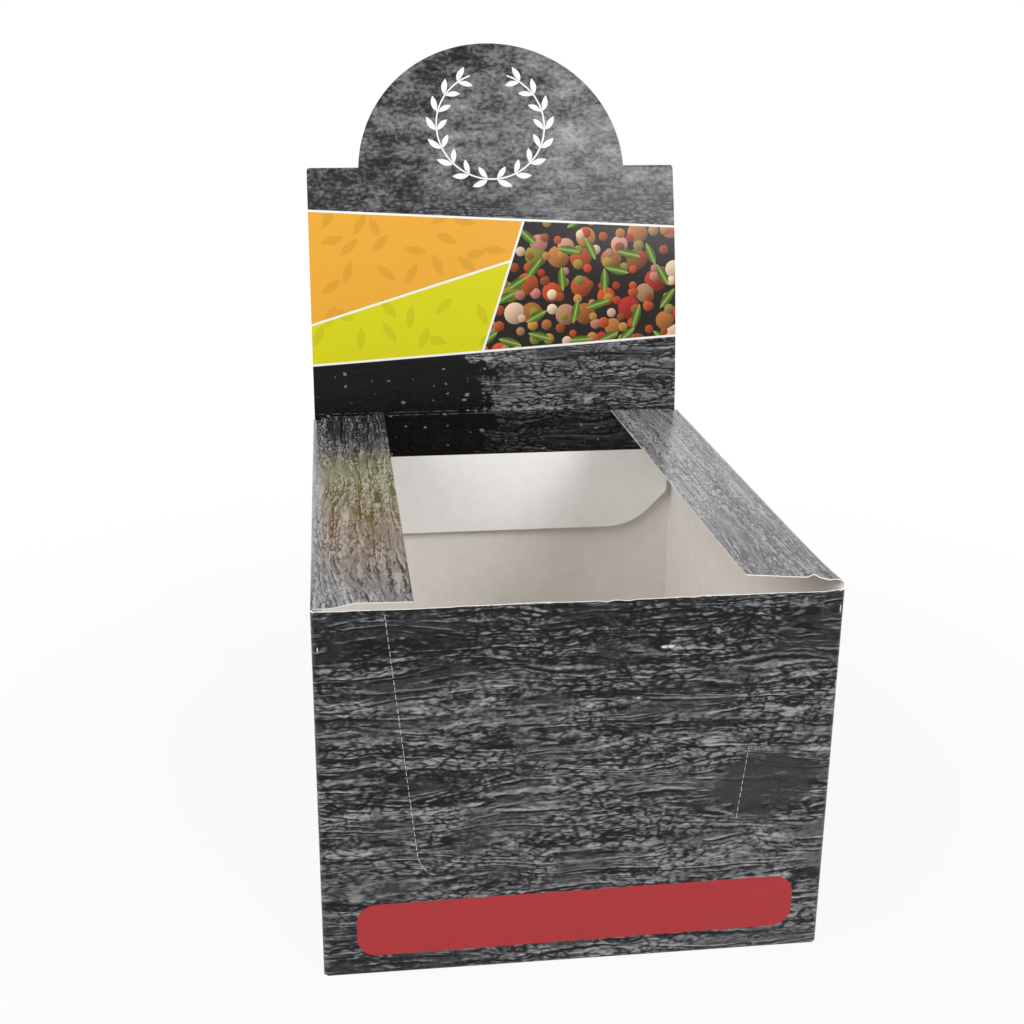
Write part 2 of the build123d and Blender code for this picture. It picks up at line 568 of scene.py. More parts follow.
@dataclass
class CartonSheet:
    """The folded sheet, all but its dust flaps: tray, base, glued strip, lid, dome and tuck flap.

    Slits on the tear line's legs are counted from the height slit_rows, those on its foot run from the
    place slit_columns to slit_end.
    """

    sizes: Sizes
    tear: TearLine = field(default_factory=TearLine)
    slit_rows: float = 32.4
    slit_columns: float = -36.85
    slit_end: float = 37.2

    def rows(self) -> list[float]:
        """Heights of the grid lines on the upright panels, one at each end of each slit."""
        s = self.sizes
        low = [s.base_crease, s.tab_lift + s.base_crease, 2.6, 4.5, 7.0, 10.0, 13.0, 16.0, 19.0, 22.0]
        low += [25.0, 28.0, 30.4]
        slits = self.tear.stations(self.slit_rows, s.side_end - 0.9)
        return low + slits + [s.side_end, s.height]

    def base_bend(self, up: Numbers, lift: float) -> Pair:
        """Side view of an upright panel and of the base flap that it turns into.

        Args:
            up: heights on the blank, less than zero on the base flaps.
            lift: height of the flap's printed face above the floor.

        Returns:
            How far each place lies in from the panel, and its height.
        """
        radius = self.sizes.base_crease
        arc_end = lift + radius - radius * math.pi / 2
        angle = np.clip((lift + radius - up) / radius, 0, math.pi / 2)
        inward = radius - radius * np.cos(angle) + np.maximum(arc_end - up, 0)
        height = np.where(up > lift + radius, up, lift + radius - radius * np.sin(angle))
        return inward, height

    def base_rows(self, lift: float, steps: int) -> list[float]:
        """Rows of a base flap and its fold; those of the flap run up from -SPREAD at its far edge."""
        radius = self.sizes.base_crease
        arc = [lift + radius - radius * math.pi / 2 * t for t in (1.0, 0.75, 0.5, 0.25)]
        flap = [-SPREAD * (1 - t / steps) for t in range(steps)]
        return flap + arc

    def flap_outline(self, step: float, length: Callable[[Numbers], Numbers]) -> Outline:
        """Stretches the rows of a base flap to its own length at each column.

        Args:
            step: place along the blank of the flap's edge at the seam's step.
            length: gives the flap's length for places along the blank.

        Returns:
            The outline.
        """
        radius = self.sizes.base_crease
        slant = self.sizes.seam_slant
        arc_end = radius - radius * math.pi / 2

        def cut(along: Numbers, up: Numbers) -> Pair:
            """Places the far rows by their share of the flap's length, and two columns at the step."""
            far = up < -1
            share = -up / SPREAD
            places = np.where(far, arc_end - share * length(along), up)
            before = along[far & (along < step)].max()
            after = along[far & (along > step)].min()
            drawn = np.where(along == before, step - slant, np.where(along == after, step + slant, along))
            return np.where(far, drawn, along), places

        return cut

    def front(self) -> Piece:
        """The front panel with its tear-out line, and the front base flap."""
        s = self.sizes
        edge = s.half_width - s.crease
        outer = [-edge, -73.0, -71.5, -69.0, -66.0, -63.0, -60.0, -57.2, -54.5, -51.5, -48.5, -45.5]
        outer += [-42.5, -39.6]
        slits = self.tear.stations(self.slit_columns, self.slit_end)
        columns = outer + slits + [-x for x in reversed(outer)]
        panel = lay_grid("front", columns, self.base_rows(0.0, 9) + self.rows())
        self.tear.cut(panel)
        self.nick_rim(panel)

        def fold(along: Numbers, up: Numbers) -> Numbers:
            """Stands the panel up at the front."""
            inward, height = self.base_bend(up, 0.0)
            return np.stack([along, inward - s.half_depth, height], 1)

        def length(along: Numbers) -> Numbers:
            """The base flap's length, longer to the right of the seam's step."""
            return np.where(along > s.seam_side, s.long_flap, s.short_flap)

        return fold_up(panel, fold, self.flap_outline(s.seam_side + s.seam_gap / 2, length))

    def nick_rim(self, panel: Piece) -> None:
        """Makes the front panel's cut rim slightly uneven, with a few torn nicks."""
        points = read_points(panel)
        depth = 4.0
        carried = np.clip((points[:, 1] - self.sizes.height + depth) / depth, 0, 1)
        along = points[:, 0]
        wave = 0.10 * np.sin(along / 9.0 + 0.6) + 0.07 * np.sin(along / 3.7 + 2.0)
        drop = 0.17 + wave
        nicks = ((-38.0, 1.6, 0.25), (6.5, 1.2, 0.5), (12.5, 1.5, 0.45), (31.0, 2.0, 0.3))
        for place, wide, deep in nicks:
            drop += deep * np.exp(-(((along - place) / wide) ** 2))
        fade = np.clip((self.sizes.half_width - 2 - np.abs(along)) / 4, 0, 1)
        points[:, 1] -= drop * fade * carried
        write_points(panel, points)

    def back(self) -> Piece:
        """The back panel and the back base flap."""
        s = self.sizes
        middle = s.back_middle
        columns = [middle - x for x in reversed(self.back_columns())]
        panel = lay_grid("back", columns, self.base_rows(0.0, 9) + self.rows())

        def fold(along: Numbers, up: Numbers) -> Numbers:
            """Stands the panel up at the back."""
            inward, height = self.base_bend(up, 0.0)
            return np.stack([middle - along, s.half_depth - inward, height], 1)

        def length(along: Numbers) -> Numbers:
            """The base flap's length, longer to the left of the seam's step."""
            return np.where(middle - along < s.seam_side, s.long_flap, s.short_flap)

        return fold_up(panel, fold, self.flap_outline(middle - s.seam_side + s.seam_gap / 2, length))

    def back_columns(self) -> list[float]:
        """Columns of the back panel, in line with the lid's, from left to right."""
        places = [x for x in self.lid_columns() if x <= self.sizes.half_width - self.sizes.crease]
        left = [-x for x in reversed(places) if 0 < x <= self.sizes.glue_fold]
        return left + places

    def lid_columns(self) -> list[float]:
        """Columns of one half of the lid, from its middle to its side."""
        s = self.sizes
        chord = self.dome_chord()
        at_tuck = (s.tuck_side - chord) * s.lid_side / (s.lid_side - chord)
        even = [at_tuck * i / 16 for i in range(17)]
        return even + [68.4, 71.2, s.glue_fold, s.half_width - s.crease, s.lid_side]

    def dome_chord(self) -> float:
        """Half the dome's width where it meets the doubling fold."""
        return math.sqrt(self.sizes.dome_radius**2 - self.sizes.dome_drop**2)

    def side(self, which: Side) -> Piece:
        """A side panel and the base flap inside the tray."""
        s = self.sizes
        lift = s.tab_lift
        front = s.crease - s.half_depth
        back = s.half_depth - s.crease if which is Side.RIGHT else s.half_depth - s.left_end
        places = [front, front + 1.2, front + 3] + list(np.linspace(front + 6, back - 6, 46))
        places += [back - 3, back - 1.2, back]
        columns = [which * (y + s.side_middle) for y in places]
        columns.sort()
        rows = [v for v in self.rows() if lift + s.base_crease - 0.01 < v < s.side_end + 0.01]
        panel = lay_grid("side", columns, self.base_rows(lift, 8) + rows)
        arc_end = lift + s.base_crease - s.base_crease * math.pi / 2

        def outline(along: Numbers, up: Numbers) -> Pair:
            """Tapers the base flap towards its inner edge."""
            share = np.clip(-up / SPREAD, 0, 1)
            y = which * along - s.side_middle
            narrow = (s.tab_root - s.tab_taper * share) / (s.half_depth - s.crease)
            y = np.where(share > 0.001, y * narrow, y)
            up = np.where(up < -1, arc_end - share * s.tab_reach, up)
            return which * (y + s.side_middle), up

        def fold(along: Numbers, up: Numbers) -> Numbers:
            """Stands the panel up at its side."""
            inward, height = self.base_bend(up, lift)
            x = which * (s.half_width - inward)
            return np.stack([x, which * along - s.side_middle, height], 1)

        return fold_up(panel, fold, outline)

    def corner(self, which: Side, to_back: bool) -> Piece:
        """A rounded upright fold of the tray."""
        s = self.sizes
        middle = s.side_middle + (s.half_depth if to_back else -s.half_depth)
        columns = [which * middle + s.crease * t for t in (-1.0, -0.5, 0.0, 0.5, 1.0)]
        panel = lay_grid("corner", columns, self.rows()[:-1] if to_back else self.rows())
        centre = s.half_width - s.crease
        end = s.half_depth - s.crease

        def fold(along: Numbers, up: Numbers) -> Numbers:
            """Bends the strip round the corner."""
            share = (which * along - middle + s.crease) / (2 * s.crease)
            angle = np.radians(90 * (1 - share if to_back else share))
            x = which * (centre + s.crease * np.sin(angle))
            y = (end + s.crease * np.cos(angle)) * (1 if to_back else -1)
            return np.stack([x, y, up], 1)

        return fold_up(panel, fold)

    def glued_corner(self) -> Piece:
        """The back left fold, which turns in behind the end of the left panel."""
        s = self.sizes
        start = s.back_middle + s.glue_fold
        columns = [start + 2 * s.crease * t for t in (0.0, 0.25, 0.5, 0.75, 1.0)]
        panel = lay_grid("glued_corner", columns, self.rows()[:-1])

        def fold(along: Numbers, up: Numbers) -> Numbers:
            """Bends the strip round the corner."""
            angle = np.radians(90 * (along - start) / (2 * s.crease))
            x = -s.glue_fold - (s.glue_face - s.glue_fold) * np.sin(angle)
            return np.stack([x, s.half_depth - s.crease + s.crease * np.cos(angle), up], 1)

        return fold_up(panel, fold)

    def glue_strip(self) -> Piece:
        """The strip glued inside the left panel that closes the sheet into a sleeve."""
        s = self.sizes
        start = s.back_middle + s.glue_fold + 2 * s.crease
        columns = [start + s.glue_width * t / 6 for t in range(7)]
        low = 2 * s.board + s.glue_drop
        high = s.height - s.glue_drop
        panel = lay_grid("glue_strip", columns, list(np.linspace(low, high, 24)))

        def outline(along: Numbers, up: Numbers) -> Pair:
            """Slopes both ends of the strip."""
            slope = s.glue_bevel * (along - start) / s.glue_width
            share = (up - low) / (high - low)
            return along, low + slope + share * (high - low - 2 * slope)

        def fold(along: Numbers, up: Numbers) -> Numbers:
            """Lays the strip on the inside of the left panel."""
            x = np.full(len(along), -s.glue_face)
            return np.stack([x, s.half_depth - s.crease - (along - start), up], 1)

        return fold_up(panel, fold, outline)

    def lid_walk(self) -> list[Stretch]:
        """The lid in side view: foot, hinge, rear half, doubling fold, front half, crease, tuck flap."""
        s = self.sizes
        foot = Stretch((s.half_depth - s.half_board, s.height), 0.0, s.crease_line, 0.0)
        hinge = foot.bend(s.crease_line, s.lid_lean + s.lid_bow / 2)
        rear = hinge.onward(s.lid_half, -s.lid_bow)
        fold = rear.bend(s.fold_radius, s.lid_bow - 180)
        front = fold.onward(s.lid_half, -s.lid_bow)
        crease = front.bend(s.crease_line, s.lid_bow / 2 - s.lid_lean)
        tuck = Stretch(crease.end, 180.0 + s.tuck_tilt, s.tuck_length, 0.0)
        return [foot, hinge, rear, fold, front, crease, tuck]

    def lid_fold(self, along: Numbers, up: Numbers) -> Numbers:
        """Folds the lid: up from the back panel's rim, over the doubling fold and down again."""
        s = self.sizes
        side_view = np.zeros((len(up), 2))
        start = s.height
        for index, stretch in enumerate(self.lid_walk()):
            places = stretch.points(up - start, s.half_board)
            here = up >= start - 1e-6 if index else np.full(len(up), True)
            side_view[here] = places[here]
            start += stretch.length
        return np.stack([s.back_middle - along, side_view[:, 0], side_view[:, 1]], 1)

    def shoulder_inset(self, crown: Numbers) -> Numbers:
        """How much the rounded shoulder takes off the lid's side at a distance from its crown."""
        radius = self.sizes.shoulder_radius
        gap = np.clip(radius - crown, 0, radius)
        return radius - np.sqrt(radius**2 - gap**2)

    def lid(self) -> list[Piece]:
        """The lid's panels, from the back panel's rim to the end of the tuck flap."""
        s = self.sizes
        middle = s.back_middle
        chord = self.dome_chord()
        foot, hinge, rear, fold, front, crease, _ = self.lid_walk()
        rear_start = s.height + foot.length + hinge.length
        rear_end = rear_start + rear.length
        front_start = rear_end + fold.length
        front_end = front_start + front.length
        crease_end = front_end + crease.length
        centre = rear_end + s.dome_drop
        apex = centre - s.dome_radius

        low_rows = [s.height, s.height + 0.4, s.height + foot.length, rear_start - hinge.length / 2]
        low_rows += list(np.linspace(rear_start, apex, 18))
        half = self.lid_columns()
        columns = [middle - x for x in reversed(half)] + [middle + x for x in half[1:]]
        panels = [fold_up(lay_grid("lid_rear", columns, low_rows), self.lid_fold)]

        steps = [centre - s.dome_radius * math.sin(math.radians(a)) for a in np.linspace(90, 5.5, 30)]
        near_fold = [rear_end - d for d in (1.6, 1.1, 0.7, 0.35, 0.0)]
        over = [rear_end + fold.length * t for t in (0.2, 0.4, 0.5, 0.6, 0.8)]
        after = [front_start + d for d in (0.0, 0.35, 0.7, 1.1, 1.6)]
        down = list(np.linspace(front_start + 4, front_end - 2.4, 34))
        down += [front_end - 1.0, front_end, crease_end]
        wing_rows = steps + near_fold + over + after + down
        crown = rear_end + fold.length / 2

        for which in Side:

            def wing_outline(along: Numbers, up: Numbers) -> Pair:
                """Cuts a wing to the dome's hole on one side and to the rounded shoulder on the other."""
                share = np.abs(middle - along) / s.lid_side
                rise = np.clip(centre - up, s.dome_drop, s.dome_radius)
                hole = np.where(up < rear_end, np.sqrt(np.maximum(s.dome_radius**2 - rise**2, 0)), chord)
                limit = s.lid_side - self.shoulder_inset(np.abs(up - crown))
                return middle - which * (hole + share * (limit - hole)), up

            wing = sorted(middle - which * x for x in half)
            panels.append(fold_up(lay_grid("lid_wing", wing, wing_rows), self.lid_fold, wing_outline))

        inner = list(np.linspace(-chord, chord, 37))
        front_rows = after + down
        centre_columns = [middle + x for x in inner]
        panels.append(fold_up(lay_grid("lid_front", centre_columns, front_rows), self.lid_fold))
        panels.append(self.dome(front, front_start, inner))

        shoulder = [chord + x / s.lid_side * (s.lid_side - chord) for x in half]
        tuck_columns = [middle - x for x in reversed(shoulder)] + centre_columns[1:-1]
        tuck_columns += [middle + x for x in shoulder]
        panels.append(self.tuck(tuck_columns, crease_end))
        return panels

    def dome(self, front: Stretch, front_start: float, inner: Sequence[float]) -> Piece:
        """The pop-up dome, carried on upwards from the lid's front half.

        Args:
            front: the lid's front half in side view.
            front_start: where the front half starts on the blank.
            inner: columns across the dome's chord.

        Returns:
            The dome.
        """
        s = self.sizes
        chord = self.dome_chord()
        start = math.degrees(math.asin(s.dome_drop / s.dome_radius))
        centre = front_start + s.dome_drop
        rows = [centre - s.dome_radius * math.sin(math.radians(a)) for a in np.linspace(90, start, 40)]
        curve = Stretch(front.start, front.lean + 180, s.dome_radius - s.dome_drop, s.dome_bow)
        panel = lay_grid("dome", [s.back_middle + x for x in inner], rows)

        def outline(along: Numbers, up: Numbers) -> Pair:
            """Narrows the rows to the dome's round outline."""
            half = np.sqrt(np.maximum(s.dome_radius**2 - (centre - up) ** 2, 0))
            return s.back_middle + (along - s.back_middle) / chord * half, up

        def fold(along: Numbers, up: Numbers) -> Numbers:
            """Stands the dome up on the front half."""
            side_view = curve.points(front_start - up, -s.half_board)
            return np.stack([s.back_middle - along, side_view[:, 0], side_view[:, 1]], 1)

        return fold_up(panel, fold, outline)

    def tuck(self, columns: Sequence[float], start: float) -> Piece:
        """The tuck flap inside the back panel: as wide as the lid at its top, rounded at its lower corners.

        Args:
            columns: places along the blank, in line with the lid's.
            start: where the flap starts on the blank.

        Returns:
            The tuck flap.
        """
        s = self.sizes
        tangent = s.tuck_radius * math.tan(math.radians(22.5))
        foot_side = s.tuck_side - s.tuck_corner - tangent
        centre = s.tuck_length - s.tuck_radius
        slope_start = s.tuck_length - s.tuck_corner
        arc = [centre + s.tuck_radius * math.sin(math.radians(a)) for a in np.linspace(45, 90, 12)]
        rows = [0.0, 0.5, 1.0, 1.7, 2.5, 3.5] + list(np.linspace(5.0, slope_start, 12))
        rows += list(np.linspace(slope_start, arc[0], 4))[1:] + arc[1:]
        panel = lay_grid("tuck", columns, [start + d for d in rows])

        def outline(along: Numbers, up: Numbers) -> Pair:
            """Flares the top rows and narrows the low ones to the sloped and rounded corners."""
            drop = up - start
            round_off = np.sqrt(np.maximum(s.tuck_radius**2 - (drop - centre) ** 2, 0))
            slope = s.tuck_side - np.maximum(drop - slope_start, 0)
            limit = np.where(drop > arc[0], foot_side + round_off, slope)
            limit += (s.lid_side - s.tuck_side) * np.clip((s.flare_end - drop) / s.flare_run, 0, 1)
            x = s.back_middle - along
            return s.back_middle - x * limit / s.lid_side, up

        return fold_up(panel, self.lid_fold, outline)

    def worn_edges(self) -> list[WornEdge]:
        """The folds and cut edges of the sheet that get rubbed in use."""
        s = self.sizes
        x, y, z = s.half_width, s.half_depth, s.height
        upright = (1.7, 0.6)
        foot = (1.6, 0.6)
        rim = (0.5, 1.6)
        doubling = (0.9, 0.8)
        edges = [((-x, -y, z), (x, -y, z), *rim)]
        for sx in (-x, x):
            for sy in (-y, y):
                edges.append(((sx, sy, 0), (sx, sy, z), *upright))
            edges.append(((sx, -y, 0.5), (sx, y, 0.5), *foot))
        for sy in (-y, y):
            edges.append(((-x, sy, 0), (x, sy, 0), *foot))
        walk = self.lid_walk()
        fold_y, fold_z = walk[3].points(np.array([walk[3].length / 2]), s.half_board)[0]
        chord = self.dome_chord()
        for sign in (-1, 1):
            edges.append(((sign * chord, fold_y, fold_z), (sign * s.lid_side, fold_y, fold_z), *doubling))
        return edges

    def build(self) -> Piece:
        """Folds and welds the sheet, and marks where it is worn."""
        panels = [self.front(), self.back(), self.glued_corner(), self.glue_strip()]
        panels += [self.side(which) for which in Side]
        panels += [self.corner(which, False) for which in Side]
        panels.append(self.corner(Side.RIGHT, True))
        sheet = weld(panels + self.lid(), "carton_sheet")
        mark_wear(sheet, self.worn_edges())
        return sheet


@dataclass
class DustFlap:
    """A dust flap, folded in from its side panel over the tray, and the fold that carries it.

    The lifts are the flap's angles at its two ends, in degrees. A kink is given by its distance from the
    hinge line, its half width, its height, the length over which it fades, and its slant. A blend between
    panel and flap would run along the fold from blend_start to blend_end, each given by X and Z; none is
    made.
    """

    sizes: Sizes
    which: Side
    front_lift: float
    back_lift: float
    fold_round: float = 1.5
    straight: float = 0.2
    nominal_root: float = 1.0
    miter_run: float = 12.0
    droop: float = 0.0
    droop_length: float = 11.0
    droop_start: float = 4.0
    droop_reach: float = 15.0
    bulge: float = 0.0
    bulge_length: float = 13.0
    kinks: Sequence[tuple[float, float, float, float, float]] = ()
    blend_start: tuple[float, float] = (75.0, 116.9)
    blend_end: tuple[float, float] = (73.5, 118.3)

    @property
    def fold_length(self) -> float:
        """Length of the fold on the blank."""
        return self.straight + self.fold_round * math.pi / 2

    def sink(self, y: Numbers) -> Numbers:
        """How far the fold is pressed down, or up for a droop below zero, most at its front end."""
        return self.droop * np.exp(-np.maximum(y - self.sizes.flap_front, 0) / self.droop_length)

    def near(self, reach: Numbers) -> Numbers:
        """Share of the sinking at a distance from the hinge line."""
        share = np.clip((reach - self.droop_start) / (self.droop_reach - self.droop_start), 0, 1)
        return 1 - share * share * (3 - 2 * share)

    def tilt(self, y: Numbers) -> Numbers:
        """Lift of the flap at a place along it, in radians."""
        s = self.sizes
        share = (y - s.flap_front) / (s.flap_back - s.flap_front)
        return np.radians(self.front_lift + (self.back_lift - self.front_lift) * share)

    def round_centre(self, tilt: Numbers) -> Numbers:
        """Height of the middle of the fold's rounding."""
        s = self.sizes
        return s.hinge_z + (s.half_board - self.fold_round) * (1 - np.sin(tilt)) / np.cos(tilt)

    def root(self, tilt: Numbers) -> Numbers:
        """Distance from the hinge line to the end of the fold's rounding, along the flap."""
        s = self.sizes
        x = s.half_width - self.fold_round + self.fold_round * np.sin(tilt)
        z = self.round_centre(tilt) + self.fold_round * np.cos(tilt)
        return (s.hinge_x - x) * np.cos(tilt) + (z - s.hinge_z) * np.sin(tilt)

    def stations(self) -> list[float]:
        """Places of the grid lines along the flap, close together at its front."""
        s = self.sizes
        front = [s.flap_front + d for d in (0.0, 0.6, 1.4, 2.4, 3.8, 5.5, 7.5, 10.0)]
        even = np.linspace(s.flap_front + 13, s.flap_back - 5, 56)
        return front + list(even) + [s.flap_back - 2, s.flap_back]

    def along(self, y: Numbers) -> Numbers:
        """Place along the blank for a place along the flap."""
        return self.which * (y + self.sizes.side_middle)

    def across(self, along: Numbers) -> Numbers:
        """Place along the flap for a place along the blank."""
        return self.which * along - self.sizes.side_middle

    def lift(self, y: Numbers, reach: Numbers) -> Numbers:
        """Height of the flap's waves and kinks above its even twist."""
        height = np.zeros(len(y))
        for middle, wide, rise, length, lean in self.kinks:
            back = y - self.sizes.flap_front
            ridge = np.abs(reach - middle - lean * back) / wide
            height += rise * np.clip(1 - ridge, 0, 1) ** 1.5 * np.exp(-back / length)
        return height - self.sink(y) * self.near(reach)

    def flap(self) -> Piece:
        """The flap itself, from the end of the fold to its cut free edge."""
        s = self.sizes
        columns = sorted(self.along(np.array(self.stations())))
        start = s.side_end + self.fold_length
        panel = lay_grid("flap", columns, [start + SPREAD * share for share in np.linspace(0.0, 1.0, 30)])

        def outline(along: Numbers, up: Numbers) -> Pair:
            """Cuts the rear corner at the fold and sets each row's reach."""
            share = (up - start) / SPREAD
            reach = self.nominal_root + share * (s.flap_width - self.nominal_root)
            y = self.mitred(self.across(along), reach)
            return self.along(y), start + reach - self.nominal_root

        def fold(along: Numbers, up: Numbers) -> Numbers:
            """Lays the flap over the tray."""
            y = self.across(along)
            tilt = self.tilt(y)
            root = self.root(tilt)
            share = (up - start) / (s.flap_width - self.nominal_root)
            reach = root + share * (s.flap_width - root)
            rise = s.half_board + self.lift(y, reach)
            x = s.hinge_x - reach * np.cos(tilt) + rise * np.sin(tilt)
            z = s.hinge_z + reach * np.sin(tilt) + rise * np.cos(tilt)
            return np.stack([self.which * x, y, z], 1)

        return fold_up(panel, fold, outline)

    def mitred(self, y: Numbers, reach: Numbers) -> Numbers:
        """Draws the rear end of a row in, where the corner at the fold is cut across."""
        s = self.sizes
        end = s.flap_back - np.maximum(s.flap_miter - reach, 0)
        near = s.flap_back - self.miter_run
        return np.where(y > near, near + (y - near) * (end - near) / (s.flap_back - near), y)

    def crease(self) -> Piece:
        """The rounded fold between the side panel and the flap."""
        s = self.sizes
        columns = sorted(self.along(np.array(self.stations())))
        shares = [0.0, 0.05, *np.linspace(0.1, 1.0, 16)]
        length = self.fold_length
        panel = lay_grid("crease", columns, [s.side_end + length * t for t in shares])
        front_end = s.crease - s.half_depth
        back_end = s.half_depth - s.crease

        def outline(along: Numbers, up: Numbers) -> Pair:
            """Runs the fold out to the ends of the side panel at its lower edge."""
            share = (up - s.side_end) / length
            y = self.mitred(self.across(along), np.full(len(along), self.nominal_root))
            root_front, root_back = y.min(), y.max()
            low_y = front_end + (y - root_front) * (back_end - front_end) / (root_back - root_front)
            return self.along(low_y + (y - low_y) * share), up

        def fold(along: Numbers, up: Numbers) -> Numbers:
            """Bends the fold from the side panel over to the flap."""
            y = self.across(along)
            tilt = self.tilt(np.clip(y, s.flap_front, s.flap_back))
            centre = self.round_centre(tilt)
            share = (up - s.side_end) / length
            straight = self.straight / length
            turn = np.clip((share - straight) / (1 - straight), 0, 1) * (math.pi / 2 - tilt)
            out = np.exp(-np.maximum(y - s.flap_front, 0) / self.bulge_length) * self.bulge
            x = s.half_width - self.fold_round + self.fold_round * np.cos(turn)
            x += out * np.sin(math.pi * share)
            low = s.side_end + (centre - s.side_end) * np.clip(share / straight, 0, 1)
            z = np.where(share < straight, low, centre + self.fold_round * np.sin(turn))
            root = self.root(tilt)
            near = self.near(root)
            top = centre + self.fold_round * np.cos(tilt)
            z -= self.sink(y) * near * np.cos(tilt) * (z - s.side_end) / (top - s.side_end)
            return np.stack([self.which * x, y, z], 1)

        return fold_up(panel, fold, outline)

    def worn_edges(self) -> list[WornEdge]:
        """The flap's fold and its free edge."""
        s = self.sizes
        x = self.which * s.half_width
        free = self.which * (s.hinge_x - s.flap_width)
        z = s.hinge_z
        front_rise = s.flap_width * math.sin(math.radians(self.front_lift))
        back_rise = s.flap_width * math.sin(math.radians(self.back_lift))
        fold = (3.6, 0.5)
        edge = (1.0, 0.7)
        return [
            ((x, -s.half_depth, z), (x, s.half_depth, z), *fold),
            ((free, s.flap_front, z + front_rise), (free, s.flap_back, z + back_rise), *edge),
        ]

    def blend_place(self, place: tuple[float, float]) -> Point:
        """A place for the fold's blend in metres, half way along the tray; no blend is made with it."""
        return (self.which * place[0] * MM, 0.0, place[1] * MM)

    def build(self) -> tuple[Piece, Piece]:
        """Makes the flap and its fold."""
        word = self.which.name.lower()
        flap = weld([self.flap()], f"{word}_flap_board")
        crease = weld([self.crease()], f"{word}_flap_crease")
        for piece in (flap, crease):
            mark_wear(piece, self.worn_edges())
        return flap, crease


# Finishes


def bare_material(name: str) -> tuple[bpy.types.Material, Adder]:
    """A new material with no nodes, and what adds nodes to it."""
    material = bpy.data.materials.new(name)
    material.use_nodes = True
    material.node_tree.nodes.clear()
    return material, partial(add_node, material.node_tree)


def blank_place(add: Adder) -> Node:
    """The place on the blank in millimetres, from the die_line map."""
    die_line = add("UVMap", uv_map=DIE_LINE)
    return add("VectorMath", [die_line, 1 / MM], operation="SCALE")


